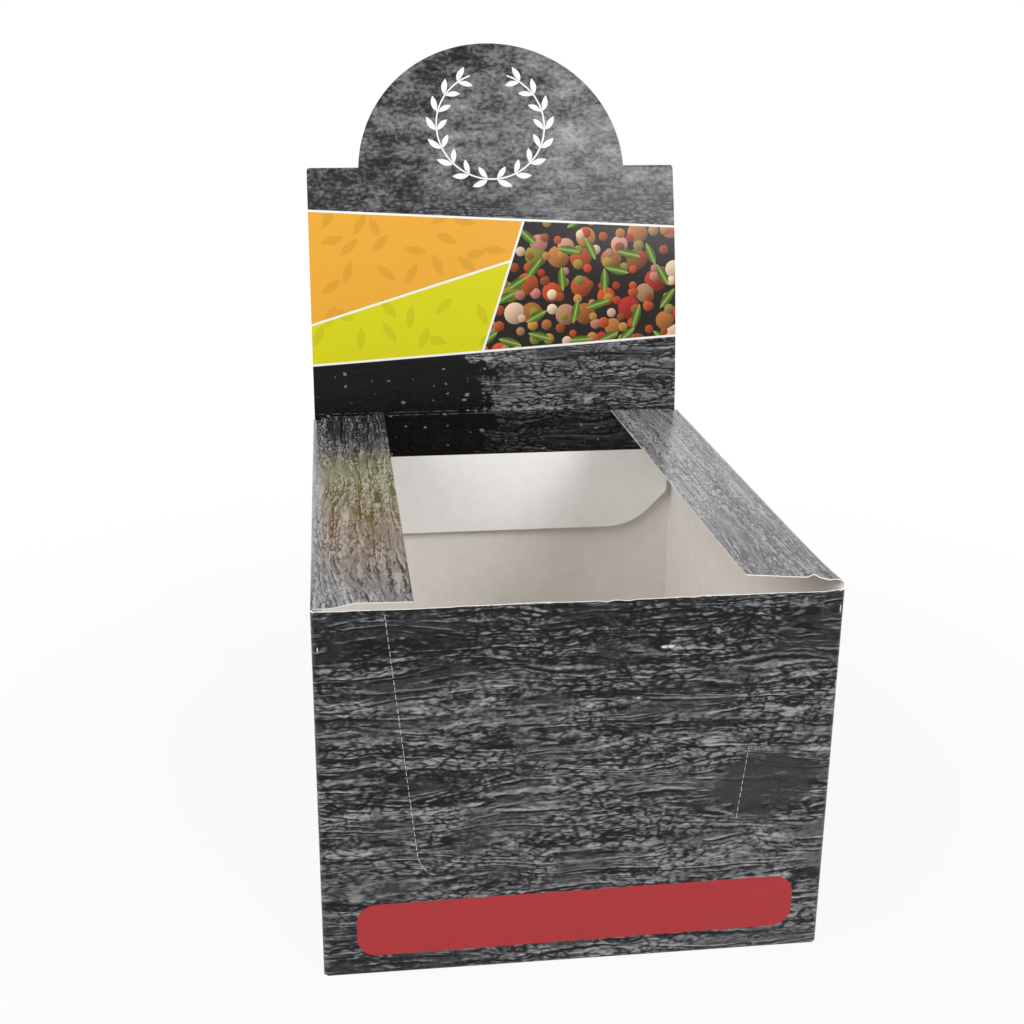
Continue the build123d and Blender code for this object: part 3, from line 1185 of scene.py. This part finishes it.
@dataclass(frozen=True)
class Artwork:
    """Print, wear and painted light and shade on the blank: slate ground, red bar, header fields, wreath.

    Place is the place on the blank in millimetres, header the place on the header from the middle of
    its crease. A worn spot is given by its middle and its half sizes across and up.
    """

    add: Adder
    place: Node
    header: Node
    panel_half: float = 75.0
    flaps_start: float = 117.2
    flaps_end: float = 275.0
    lid_half: float = 76.0
    tuck_print: float = 18.0
    edge: float = 0.05
    slate: Stops = (
        (0.0, "#101012"),
        (1.0, "#9a9a9a"),
        (0.2, "#242427"),
        (0.36, "#38383b"),
        (0.47, "#565659"),
        (0.64, "#6e6e70"),
    )
    block_rim: Stops = (
        (0.0, "#303030"),
        (1.0, "#707070"),
        (0.12, "#606060"),
        (0.26, "#a4a4a4"),
        (0.45, "#8a8a8a"),
    )
    berry_skins: Stops = (
        (0.0, "#a8302a"),
        (1.0, "#e9d9b4"),
        (0.2, "#c9572d"),
        (0.4, "#8a4a2a"),
        (0.58, "#d08f4a"),
        (0.74, "#7c8a2c"),
        (0.86, "#c77d78"),
    )
    scuffs: Sequence[tuple[float, float, float, float]] = (
        (74.0, 111.3, 0.28, 1.9),
        (-73.4, 105.8, 0.3, 1.5),
        (74.7, 88.0, 0.3, 1.6),
        (24.7, 102.0, 2.9, 0.7),
        (16.9, 86.5, 1.0, 0.42),
    )

    def printed(self) -> Node:
        """The colour of the whole printed face."""
        colour = self.ground(self.shaded(self.stone()))
        for layer in (self.bar, self.header_fields, self.wreath, self.tuck_end, self.cracked, self.rubbed):
            colour = layer(colour)
        return colour

    def stone(self) -> Node:
        """The slate's even tone: flecks, rounded blocks, and long broken ridges over dark gaps.

        Returns:
            The tone, from 0 for black to 1 for the palest fleck.
        """
        add = self.add
        split = add("SeparateXYZ", [self.place])
        drawn_in = add("VectorMath", [self.place, (0.85, 1.15, 0.0)], operation="MULTIPLY")
        folded = add("Math", [split.outputs["Y"], self.flaps_start], operation="GREATER_THAN")
        beside = add("Math", [split.outputs["X"]], operation="ABSOLUTE")
        short = add("Math", [beside, self.flaps_end], operation="LESS_THAN")
        on_flap = add("Math", [folded, short], operation="MULTIPLY")
        grain = add("Mix", [on_flap, self.place, drawn_in], data_type="VECTOR")
        # Two sways bend the courses of the slate: their size, then how far they move it, in millimetres.
        courses = []
        moved = grain
        for (wide, high), (across, up) in (((26.0, 14.0), (9.0, 2.6)), ((4.6, 2.6), (1.5, 0.9))):
            drawn = add("VectorMath", [grain, (1 / wide, 1 / high, 0.0)], operation="MULTIPLY")
            sway = add("TexNoise", [drawn, 1.0, 1.0], noise_dimensions="2D")
            swayed = [sway.outputs["Color"], (across, up, 0.0), moved]
            moved = add("VectorMath", swayed, operation="MULTIPLY_ADD")
            courses.append(moved)
        bent, frayed = courses
        # Large and small flecks, rows, patches, the ridges' spacing and three runs of ridges, in millimetres.
        fields = []
        for laid, wide, high, detail in (
            (frayed, 4.6, 1.5, 2.0),
            (frayed, 1.7, 0.85, 1.5),
            (bent, 80.0, 3.6, 2.0),
            (bent, 30.0, 13.0, 2.0),
            (bent, 70.0, 11.0, 1.0),
            (frayed, 36.0, 4.0, 2.0),
            (frayed, 17.0, 2.8, 2.0),
            (frayed, 8.5, 2.0, 1.5),
        ):
            scale = (1 / wide, 1 / high, 0.0)
            drawn = add("VectorMath", [laid, scale, (wide, high, 0.0)], operation="MULTIPLY_ADD")
            noise = add("TexNoise", [drawn, 1.0, detail, 0.55], noise_dimensions="2D")
            fields.append(add("Math", [noise, 0.5], operation="SUBTRACT"))
        large, small, rows, patches, spacing = fields[:5]
        tone = add("Math", [large, 0.8], operation="MULTIPLY")
        for flecks, weight in ((small, 0.8), (rows, 0.9)):
            tone = add("Math", [flecks, weight, tone], operation="MULTIPLY_ADD")
        strength = add("MapRange", [patches, -0.17, -0.03, 0.3])
        tone = add("Math", [tone, strength], operation="MULTIPLY")
        # Pale ridges at three pitches, each with a dark gap beside it.
        laid = add("SeparateXYZ", [frayed])
        level = add("Math", [spacing, 16.0, laid.outputs["Y"]], operation="MULTIPLY_ADD")
        for run, pitch, shift, thick in zip(fields[5:], (3.1, 1.9, 1.2), (0.0, 1.4, 0.5), (0.6, 0.5, 0.42)):
            broken = add("MapRange", [run, 0.0, 0.09])
            for offset, core, weight in ((0.0, 0.3, 0.3), (1.4, 0.2, -0.33)):
                raised = add("Math", [level, shift + offset * thick], operation="ADD")
                away = add("Math", [raised, pitch], operation="PINGPONG")
                line = add("MapRange", [away, thick, core * thick, 0.0, weight])
                tone = add("Math", [line, broken, tone], operation="MULTIPLY_ADD")
        # Rounded blocks, about 4 mm long, with dark seams and pale rims.
        cell = add("VectorMath", [frayed, (1 / 4.2, 1 / 1.6, 0.0)], operation="MULTIPLY")
        grown = {"Vector": cell, "Scale": 1.0, "Randomness": 1.0}
        seam = add("TexVoronoi", grown, voronoi_dimensions="2D", feature="DISTANCE_TO_EDGE")
        block = add("TexVoronoi", grown, voronoi_dimensions="2D", feature="F1")
        random = add("SeparateColor", [block.outputs["Color"]])
        rim = add("ValToRGB", [seam], self.block_rim)
        outline = add("Math", [rim, 1.2, -0.36], operation="MULTIPLY_ADD")
        blocks = add("Math", [random, 0.3, outline], operation="MULTIPLY_ADD")
        zone = add("MapRange", [patches, -0.06, 0.06, 0.15])
        tone = add("Math", [blocks, zone, tone], operation="MULTIPLY_ADD")
        return add("Math", [tone, 0.4], operation="ADD")

    def shaded(self, tone: Node) -> Node:
        """Darkens the slate to the left; paints shade under the front rim, and light and shade on the flaps.

        The flaps get painted light, with painted shade at the left flap's rear and the right flap's front.
        Half way up the front, on its right, lies a smooth dark patch with a ragged edge.

        Args:
            tone: the slate's even tone.

        Returns:
            The tone with these differences.
        """
        add = self.add
        split = add("SeparateXYZ", [self.place])
        across, up = split.outputs["X"], split.outputs["Y"]
        beside = add("Math", [across], operation="ABSOLUTE")
        on_front = add("Math", [beside, self.panel_half], operation="LESS_THAN")
        short = add("Math", [beside, self.flaps_end], operation="LESS_THAN")
        # Painted shade: the slate on the front darkens upwards from 86 mm to 106 mm, under the rim.
        rim = add("MapRange", [up, 86.0, 106.0, 0.0, -0.18])
        fold = add("MapRange", [up, 116.5, 118.5])
        beam = add("MapRange", [across, -60.0, 60.0, -0.05, 0.04])
        parts = [(on_front, rim), (on_front, beam)]
        # Painted light and shade along each flap: where it starts and ends, and how strong it is there.
        for start, end, first, last in (
            (-250.0, -190.0, -0.14, 0.24),
            (265.0, 215.0, 0.19, 0.29),
            (95.0, 165.0, -0.26, 0.0),
        ):
            run = add("MapRange", [across, start, end, first, last])
            apart = add("Math", [across, 0.0] if start > 0 else [0.0, across], operation="GREATER_THAN")
            flap_light_and_shade = add("Math", [fold, run], operation="MULTIPLY")
            own = add("Math", [apart, flap_light_and_shade], operation="MULTIPLY")
            parts.append((short, own))
        for where, part in parts:
            tone = add("Math", [where, part, tone], operation="MULTIPLY_ADD")
        patch = {"Vector": self.place, "Location": (57.0, 57.0, 0.0), "Scale": (15.0, 10.0, 1.0)}
        near = add("Mapping", patch, vector_type="TEXTURE")
        gap = add("VectorMath", [near], operation="LENGTH")
        ragged = add("TexNoise", [self.place, 1 / 8.0, 4.0], noise_dimensions="2D")
        reach = add("Math", [ragged, 1.6, gap], operation="MULTIPLY_ADD")
        smooth = add("MapRange", [reach, 2.0, 1.6, 0.0, 0.8])
        return add("Mix", [smooth, tone, 0.31], data_type="FLOAT")

    def ground(self, tone: Node) -> Node:
        """The ground colour: slate, cloudy on the dome, black with pale specks at the header's lower left.

        The printed part of the tuck flap is darkened too, and the dome gets a painted sheen on its right.

        Args:
            tone: the slate's tone.

        Returns:
            The colour.
        """
        add = self.add
        split = add("SeparateXYZ", [self.header])
        across, up = split.outputs["X"], split.outputs["Y"]
        beside = add("Math", [across], operation="ABSOLUTE")
        on_lid = add("Math", [beside, self.lid_half], operation="LESS_THAN")
        rising = add("MapRange", [up, 66.0, 92.0, 0.0, 0.88])
        ending = add("MapRange", [up, 185.0, 150.0])
        topped = add("Math", [rising, ending], operation="MULTIPLY")
        cloudy = add("Math", [topped, on_lid], operation="MULTIPLY")
        # Painted sheen: the tone starts low on the dome's left and rises towards its right.
        sheen_and_clouds = add("MapRange", [across, -45.0, 34.0, -1.1, -0.92], interpolation_type="SMOOTHSTEP")
        # Length, height, detail and weight of each kind of cloud.
        clouds = ((38.0, 24.0, 2.0, 0.8), (13.0, 7.0, 4.0, 1.15), (2.2, 1.5, 3.0, 1.05))
        for wide, high, detail, weight in clouds:
            scale = (1 / wide, 1 / high, 0.0)
            drawn = add("VectorMath", [self.place, scale, (wide, high, 0.0)], operation="MULTIPLY_ADD")
            noise = add("TexNoise", [drawn, 1.0, detail, 0.6], noise_dimensions="2D")
            sheen_and_clouds = add("Math", [noise, weight, sheen_and_clouds], operation="MULTIPLY_ADD")
        mixed = add("Mix", [cloudy, tone, sheen_and_clouds], data_type="FLOAT")
        slate = add("ValToRGB", [mixed], self.slate)
        ragged = add("TexNoise", [self.place, 1 / 13.0, 6.0, 0.65], noise_dimensions="2D")
        shifted = add("Math", [ragged, 75.0, across], operation="MULTIPLY_ADD")
        left = add("MapRange", [shifted, 34.5, 30.5])
        low = add("MapRange", [up, 30.0, 26.0, 0.0, 0.985])
        below = add("Math", [left, low], operation="MULTIPLY")
        tucked = add("MapRange", [up, 0.0, -0.1, 0.0, 0.77])
        night = add("Math", [below, tucked], operation="MAXIMUM")
        even = add("VectorMath", [self.place, (1 / 8.0, 1 / 6.0, 0.0)], operation="MULTIPLY")
        strewn = add("VectorMath", [ragged.outputs["Color"], (0.9, 0.9, 0.0), even], operation="MULTIPLY_ADD")
        specks = add(
            "TexVoronoi",
            {"Vector": strewn, "Scale": 1.0, "Randomness": 1.0},
            voronoi_dimensions="2D",
            feature="F1",
        )
        random = add("SeparateColor", [specks.outputs["Color"]])
        reach = add("Math", [random, 0.13, -0.03], operation="MULTIPLY_ADD")
        inside = add("Math", [specks, reach], operation="LESS_THAN")
        black = add("Mix", [inside, ink("#090909"), ink("#6f6e6c")], data_type="RGBA")
        return add("Mix", [night, slate, black], data_type="RGBA")

    def bar(self, ground: Node) -> Node:
        """The plain red bar with rounded corners, low on the front panel.

        Args:
            ground: the colour under the bar.

        Returns:
            The colour with the bar on it.
        """
        add = self.add
        slant = (0.0, 0.0, math.radians(0.5))
        middle = {"Vector": self.place, "Location": (0.7, 15.6, 0.0), "Rotation": slant}
        turned = add("Mapping", middle, vector_type="TEXTURE")
        beyond = add("VectorMath", [turned], operation="ABSOLUTE")
        corner = add("VectorMath", [beyond, (59.6, 2.7, 0.0)], operation="SUBTRACT")
        outside = add("VectorMath", [corner, (0.0, 0.0, 0.0)], operation="MAXIMUM")
        length = add("VectorMath", [outside], operation="LENGTH")
        inside = add("MapRange", [length, 6.05, 5.95])
        mottle = add("TexNoise", [self.place, 1 / 3.0, 4.0], noise_dimensions="2D")
        red = add("ValToRGB", [mottle], ((0.3, "#a43235"), (0.7, "#a93538")))
        return add("Mix", [inside, ground, red], data_type="RGBA")

    def header_fields(self, ground: Node) -> Node:
        """A slanted band across the header: lime and orange fields, and one of berries and leaves.

        Args:
            ground: the colour under the band.

        Returns:
            The colour with the band and its white rules.
        """
        add = self.add
        # Each rule as the direction across it and its offset in that direction.
        rules = {
            "head": ((0.055, 1.0), 78.0),
            "foot": ((-0.06, 1.0), 25.0),
            "parting": ((1.0, -0.34), -14.0),
            "rise": ((-0.3, 1.0), 59.0),
        }
        away = {}
        for name, ((run, rise), offset) in rules.items():
            length = math.hypot(run, rise)
            facing = (run / length, rise / length, 0.0)
            along = add("VectorMath", [self.header, facing], operation="DOT_PRODUCT")
            away[name] = add("Math", [along, offset / length], operation="SUBTRACT")
        under = add("Math", [away["head"], -1.0], operation="MULTIPLY")
        within = add("Math", [under, away["foot"]], operation="MINIMUM")
        in_band, right_side, upper = (
            add("MapRange", [gap, -self.edge, self.edge]) for gap in (within, away["parting"], away["rise"])
        )
        berries, leaf = self.berries()
        plain = add("Mix", [upper, ink("#cdc81c"), ink("#dfa238")], data_type="RGBA")
        veiled = add("Math", [leaf, 0.16], operation="MULTIPLY")
        toned = add("Mix", [veiled, plain, ink("#5b4a14")], data_type="RGBA")
        fields = add("Mix", [right_side, toned, berries], data_type="RGBA")
        banded = add("Mix", [in_band, ground, fields], data_type="RGBA")
        gaps = {name: add("Math", [gap], operation="ABSOLUTE") for name, gap in away.items()}
        left_only = add("Math", [gaps["rise"], away["parting"]], operation="MAXIMUM")
        inner = add("Math", [gaps["parting"], left_only], operation="MINIMUM")
        outside = add("Math", [within, -1.0], operation="MULTIPLY")
        kept = add("Math", [inner, outside], operation="MAXIMUM")
        outer = add("Math", [gaps["head"], gaps["foot"]], operation="MINIMUM")
        nearest = add("Math", [kept, outer], operation="MINIMUM")
        rule = add("MapRange", [nearest, 0.5, 0.4])
        return add("Mix", [rule, banded, ink("#e9e8e4")], data_type="RGBA")

    def berries(self) -> tuple[Node, Node]:
        """A scattered print of round berries and pointed leaves on a dark ground.

        Returns:
            The print's colour, and where its leaves lie.
        """
        add = self.add
        colour = ink("#241f1d")
        # Large berries, then small ones on top: their spacing, their reach in it and a shift.
        for pitch, reach, shift in ((11.0, 0.42, 3.0), (6.2, 0.36, 31.0)):
            scale = (1 / pitch, 1 / pitch, 0.0)
            moved = add("VectorMath", [self.header, scale, (shift, shift, 0.0)], operation="MULTIPLY_ADD")
            cell = add(
                "TexVoronoi",
                {"Vector": moved, "Scale": 1.0, "Randomness": 0.75},
                voronoi_dimensions="2D",
                feature="F1",
            )
            random = add("SeparateColor", [cell.outputs["Color"]])
            skin = add("ValToRGB", [random], self.berry_skins)
            offset = add("VectorMath", [moved, cell.outputs["Position"]], operation="SUBTRACT")
            facing = add("VectorMath", [offset, (-0.6 / reach, 0.8 / reach, 0.0)], operation="DOT_PRODUCT")
            light = add("MapRange", [facing, -1.0, 0.8, 0.25, 1.1])
            shaded = add("VectorMath", [skin, light], operation="SCALE")
            size = add("Math", [random.outputs[1], 0.12, reach - 0.12], operation="MULTIPLY_ADD")
            inside = add("Math", [cell, size], operation="LESS_THAN")
            colour = add("Mix", [inside, colour, shaded], data_type="RGBA")
        moved = add("VectorMath", [self.header, 1 / 12.5], operation="SCALE")
        cell = add(
            "TexVoronoi",
            {"Vector": moved, "Scale": 1.0, "Randomness": 0.8},
            voronoi_dimensions="2D",
            feature="F1",
        )
        random = add("SeparateColor", [cell.outputs["Color"]])
        offset = add("VectorMath", [moved, cell.outputs["Position"]], operation="SUBTRACT")
        turn = add("Math", [random, 2 * math.pi], operation="MULTIPLY")
        turned = add("VectorRotate", {"Vector": offset, "Angle": turn}, rotation_type="Z_AXIS")
        split = add("SeparateXYZ", [turned])
        squared = add("Math", [split.outputs["X"], 2.0], operation="POWER")
        half = add("Math", [squared, -0.9, 0.14], operation="MULTIPLY_ADD")
        beside = add("Math", [split.outputs["Y"]], operation="ABSOLUTE")
        leaf = add("Math", [beside, half], operation="LESS_THAN")
        rib = add("MapRange", [beside, 0.0, 0.1])
        green = add("ValToRGB", [rib], ((0.0, "#b9c47a"), (1.0, "#3f5a20"), (0.14, "#6d8a34")))
        return add("Mix", [leaf, colour, green], data_type="RGBA"), leaf

    def wreath(self, ground: Node) -> Node:
        """A plain white wreath of leaves on the dome, open at its top.

        Args:
            ground: the colour under the wreath.

        Returns:
            The colour with the wreath on it.
        """
        add = self.add
        middle = 116.0
        radius = 22.0
        pairs = 9
        step = math.pi / pairs
        centred = add("VectorMath", [self.header, (0.0, middle, 0.0)], operation="SUBTRACT")
        distance = add("VectorMath", [centred], operation="LENGTH")
        split = add("SeparateXYZ", [centred])
        beside = add("Math", [split.outputs["X"]], operation="ABSOLUTE")
        angle = add("Math", [split.outputs["Y"], beside], operation="ARCTAN2")
        from_foot = add("Math", [angle, math.pi / 2], operation="ADD")
        wrapped = add("Math", [from_foot, step], operation="FLOORED_MODULO")
        along = add("Math", [wrapped, radius, -radius * step / 2], operation="MULTIPLY_ADD")
        off = add("Math", [distance, radius], operation="SUBTRACT")
        outward = add("Math", [off], operation="ABSOLUTE")
        local = add("CombineXYZ", [along, outward])
        leaf = {"Vector": local, "Location": (0.6, 2.3, 0.0), "Rotation": (0.0, 0.0, math.radians(38))}
        parts = add("SeparateXYZ", [add("Mapping", leaf, vector_type="TEXTURE")])
        squared = add("Math", [parts.outputs["X"], 2.0], operation="POWER")
        half = add("Math", [squared, -0.115, 1.15], operation="MULTIPLY_ADD")
        side = add("Math", [parts.outputs["Y"]], operation="ABSOLUTE")
        spare = add("Math", [half, side], operation="SUBTRACT")
        stem = add("Math", [0.32, outward], operation="SUBTRACT")
        drawn = add("Math", [spare, stem], operation="MAXIMUM")
        inside = add("MapRange", [drawn, -self.edge, self.edge])
        open_top = add("Math", [from_foot, step * (pairs - 1)], operation="LESS_THAN")
        shown = add("Math", [inside, open_top], operation="MULTIPLY")
        return add("Mix", [shown, ground, ink("#e6e5e2")], data_type="RGBA")

    def tuck_end(self, ground: Node) -> Node:
        """The unprinted white end of the tuck flap.

        Args:
            ground: the colour of the printed part.

        Returns:
            The colour with the white end.
        """
        add = self.add
        split = add("SeparateXYZ", [self.header])
        limits = (self.edge - self.tuck_print, -self.edge - self.tuck_print)
        bare = add("MapRange", [split.outputs["Y"], *limits])
        fibre = add("TexNoise", [self.header, 1 / 5.0, 4.0], noise_dimensions="2D")
        white = add("ValToRGB", [fibre], ((0.3, "#edecea"), (0.7, "#f1f0ee")))
        return add("Mix", [bare, ground, white], data_type="RGBA")

    def cracked(self, colour: Node) -> Node:
        """Two fine pale lines along the crease between header and tuck flap, where the ink has cracked.

        Args:
            colour: the uncracked colour.

        Returns:
            The colour with the lines.
        """
        add = self.add
        split = add("SeparateXYZ", [self.header])
        beside = add("Math", [split.outputs["Y"]], operation="ABSOLUTE")
        off = add("Math", [beside, 0.6], operation="SUBTRACT")
        gap = add("Math", [off], operation="ABSOLUTE")
        line = add("MapRange", [gap, 0.16, 0.05])
        breaks = add("TexNoise", [self.header, 1 / 4.0, 4.0, 0.7], noise_dimensions="2D")
        kept = add("MapRange", [breaks, 0.42, 0.62, 0.0, 0.4])
        factor = add("Math", [line, kept], operation="MULTIPLY")
        return add("Mix", [factor, colour, ink("#a9a6a1")], data_type="RGBA")

    def rubbed(self, colour: Node) -> Node:
        """Greys the print along folds, and rubs it off in a few small chips.

        Args:
            colour: the unworn colour.

        Returns:
            The worn colour.
        """
        add = self.add
        rubbing = add("Attribute", attribute_name=WEAR).outputs["Fac"]
        chips = add("TexNoise", [self.place, 1 / 2.0, 5.0, 0.7], noise_dimensions="2D")
        for across, up, half_width, half_length in self.scuffs:
            size = (half_width, half_length, 1.0)
            spot = {"Vector": self.place, "Location": (across, up, 0.0), "Scale": size}
            gap = add("VectorMath", [add("Mapping", spot, vector_type="TEXTURE")], operation="LENGTH")
            rubbed = add("MapRange", [gap, 1.0, 0.3, 0.0, 2.2])
            rubbing = add("Math", [rubbing, rubbed], operation="MAXIMUM")
        uneven = add("MapRange", [chips, 0.25, 0.75])
        total = add("Math", [rubbing, uneven], operation="MULTIPLY")
        for low, high, most, code in ((0.1, 0.5, 0.4, "#8e8d8b"), (0.55, 0.62, 0.9, "#d9d2c7")):
            worn = add("MapRange", [total, low, high, 0.0, most])
            colour = add("Mix", [worn, colour, ink(code)], data_type="RGBA")
        return colour


@dataclass(frozen=True)
class PrintedBoard:
    """White-lined chipboard, offset printed and varnished.

    The varnish gives a soft gloss, faint from the front and clear at a low angle, where the flaps
    mirror the header.
    """

    back_middle: float = 350.0
    crease_up: float = 316.67
    gloss: float = 0.18

    def material(self) -> bpy.types.Material:
        """The printed face, with its artwork placed on the die_line map."""
        material, add = bare_material("varnished_print_on_carton_board")
        place = blank_place(add)
        crease = (self.back_middle, self.crease_up, 0.0)
        header = add("VectorMath", [place, (-1.0, -1.0, 0.0), crease], operation="MULTIPLY_ADD")
        # The varnish is faintly wavy, 1.4 mm from wave to wave.
        grain = add("TexNoise", [place, 1 / 1.4, 3.0], noise_dimensions="2D")
        finish = {
            "Base Color": Artwork(add, place, header).printed(),
            "Roughness": add("MapRange", [grain, 0.0, 1.0, self.gloss - 0.04, self.gloss + 0.08]),
            "IOR": 1.6,
            "Specular Tint": ink("#818181"),
            "Normal": add("Bump", {"Strength": 0.1, "Distance": 0.04 * MM, "Height": grain}),
        }
        add("OutputMaterial", [add("BsdfPrincipled", finish)])
        return material


@dataclass(frozen=True)
class RawBoard:
    """The unlined inside of the board: uncoated grey-beige pulp, matt and faintly mottled."""

    def material(self) -> bpy.types.Material:
        """The inside face."""
        material, add = bare_material("uncoated_grey_back_of_carton_board")
        # The pulp is cloudy, 7 mm from cloud to cloud.
        mottle = add("TexNoise", [blank_place(add), 1 / 7.0, 6.0, 0.62], noise_dimensions="2D")
        finish = {
            "Base Color": add("ValToRGB", [mottle], ((0.3, "#e7e2dc"), (0.7, "#ece8e2"))),
            "Roughness": 0.85,
            "IOR": 1.4,
            "Normal": add("Bump", {"Strength": 0.15, "Distance": 0.1 * MM, "Height": mottle}),
        }
        add("OutputMaterial", [add("BsdfPrincipled", finish)])
        return material


@dataclass(frozen=True)
class CutBoard:
    """The core of the board at a cut edge: cream pulp, rough and matt."""

    def material(self) -> bpy.types.Material:
        """The cut edge."""
        material, add = bare_material("cut_edge_of_carton_board")
        where = add("TexCoord")
        # Fibre ends are finer than this, and are drawn 0.8 mm coarse so that they show.
        fibre = add("TexNoise", [where.outputs["Object"], 1 / (0.8 * MM), 3.0])
        finish = {
            "Base Color": add("ValToRGB", [fibre], ((0.3, "#ece7df"), (0.7, "#f8f6f1"))),
            "Roughness": 0.9,
        }
        add("OutputMaterial", [add("BsdfPrincipled", finish)])
        return material


# Studio


@dataclass
class Studio:
    """White floor and background, soft light, and the camera at the photograph's place."""

    camera_place: Point = (-66.9, -449.2, 266.6)
    yaw: float = 6.37
    pitch: float = -17.58
    roll: float = 0.08
    lens: float = 48.77
    shift: tuple[float, float] = (0.0283, -0.039)
    sky: float = 0.3

    def camera(self) -> None:
        """Adds the camera."""
        yaw, pitch, roll = (math.radians(a) for a in (self.yaw, self.pitch, self.roll))
        ahead = Vector((math.sin(yaw) * math.cos(pitch), math.cos(yaw) * math.cos(pitch), math.sin(pitch)))
        level = Vector((math.cos(yaw), -math.sin(yaw), 0.0))
        upward = level.cross(ahead)
        right = level * math.cos(roll) + upward * math.sin(roll)
        top = upward * math.cos(roll) - level * math.sin(roll)
        data = bpy.data.cameras.new("photo_camera")
        data.sensor_width = 36.0
        data.lens = self.lens
        data.shift_x, data.shift_y = self.shift
        data.clip_start = 0.01
        camera = bpy.data.objects.new("photo_camera", data)
        bpy.context.scene.collection.objects.link(camera)
        turn = Matrix((right, top, -ahead)).transposed().to_4x4()
        camera.matrix_world = Matrix.Translation(Vector(self.camera_place) * MM) @ turn
        bpy.context.scene.camera = camera

    def floor(self) -> None:
        """Adds the floor, white to the camera but keeping part of the carton's shadow."""
        bpy.ops.object.select_all(action="DESELECT")
        bpy.ops.mesh.primitive_plane_add(size=30.0)
        floor = bpy.context.object
        floor.name = "floor"
        material, add = bare_material("white_paper_floor")
        paper = add("BsdfDiffuse", {"Color": ink("#c8c8c8")})
        glow = add("Emission", {"Color": (1, 1, 1, 1), "Strength": 1.0})
        where = add("TexCoord")
        distance = add("VectorMath", [where.outputs["Object"]], operation="LENGTH")
        fade = add("MapRange", [distance, 0.12, 0.4, 0.91], interpolation_type="SMOOTHSTEP")
        share = add("Math", [self.seen(add), fade], operation="MULTIPLY")
        add("OutputMaterial", [add("MixShader", [share, paper, glow])])
        material.cycles.emission_sampling = "NONE"
        floor.data.materials.append(material)

    def seen(self, add: Adder) -> Node:
        """Marks the rays that show a surface as it is: to the camera, in gloss and through glass."""
        path = add("LightPath")
        indirect = [path.outputs["Is Glossy Ray"], path.outputs["Is Transmission Ray"]]
        mirrored = add("Math", indirect, operation="MAXIMUM")
        return add("Math", [path.outputs["Is Camera Ray"], mirrored], operation="MAXIMUM")

    def world(self) -> None:
        """Lights the carton evenly, with a white background for the camera and for reflections."""
        world = bpy.data.worlds.new("studio")
        bpy.context.scene.world = world
        world.use_nodes = True
        tree = world.node_tree
        tree.nodes.clear()
        add = partial(add_node, tree)
        strength = add("MapRange", [self.seen(add), 0.0, 1.0, self.sky, 1.0])
        sky = add("Background", {"Color": (1, 1, 1, 1), "Strength": strength})
        add("OutputWorld", [sky])

    def lamp(self, name: str, place: Point, target: Point, size: float, power: float) -> None:
        """Adds a soft box that faces a point.

        Args:
            name: the lamp's name.
            place: where it stands, in metres.
            target: what it faces, in metres.
            size: its side, in metres.
            power: its power in watts.
        """
        data = bpy.data.lights.new(name, "AREA")
        data.size = size
        data.energy = power
        lamp = bpy.data.objects.new(name, data)
        bpy.context.scene.collection.objects.link(lamp)
        lamp.location = place
        lamp.rotation_euler = (Vector(target) - Vector(place)).to_track_quat("-Z", "Y").to_euler()

    def build(self) -> None:
        """Sets up the whole studio."""
        self.camera()
        self.floor()
        self.world()
        self.lamp("left_box", (-1.25, -0.88, 1.15), (0.0, 0.0, 0.1), 1.1, 15.8)
        self.lamp("right_box", (0.54, -1.05, 0.93), (0.0, 0.0, 0.15), 0.62, 11.6)
        self.lamp("top_box", (-0.5, 0.1, 1.5), (0.0, 0.0, 0.1), 1.4, 8.9)
        bpy.context.scene.view_settings.view_transform = "Standard"


def dress(piece: Piece, finishes: Sequence[bpy.types.Material], board: float) -> None:
    """Gives a sheet its three finishes and the board's thickness."""
    piece.data.materials.clear()
    for finish in finishes:
        piece.data.materials.append(finish)
    thicken(piece, board)
    LOG.info("%s: %d faces", piece.name, len(piece.data.polygons))


def main() -> None:
    """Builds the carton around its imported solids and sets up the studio."""
    logging.basicConfig(level=logging.INFO, format="%(name)s: %(message)s")
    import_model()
    sizes = Sizes()
    finishes = (PrintedBoard().material(), RawBoard().material(), CutBoard().material())

    sheet_maker = CartonSheet(sizes)
    sheet = sheet_maker.build()
    dress(sheet, finishes, sizes.cut_edge)
    scored = sheet_maker.tear.press_slits(sheet, sheet_maker.slit_rows, sheet_maker.slit_columns)
    LOG.info("tear line: %d faces scored", scored)
    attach(sheet, "carton")
    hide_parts("carton")

    kinks = ((8.3, 2.6, 1.2, 9.0, 0.1), (3.6, 2.0, -0.4, 9.0, 0.1))
    flaps = (
        DustFlap(sizes, Side.LEFT, -1.2, 2.4, droop=1.5, droop_reach=13.0),
        DustFlap(sizes, Side.RIGHT, 6.3, 0.3, droop=-0.75, droop_reach=45.0, bulge=0.75, kinks=kinks),
    )
    for maker in flaps:
        flap, crease = maker.build()
        word = maker.which.name.lower()
        for piece in (flap, crease):
            dress(piece, finishes, sizes.flap_edge)
        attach(flap, f"{word}_flap")
        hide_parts(f"{word}_dust_flap")
        start = maker.blend_place(maker.blend_start)
        end = maker.blend_place(maker.blend_end)
        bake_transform(crease)

    Studio().build()


if __name__ == "__main__":
    main()
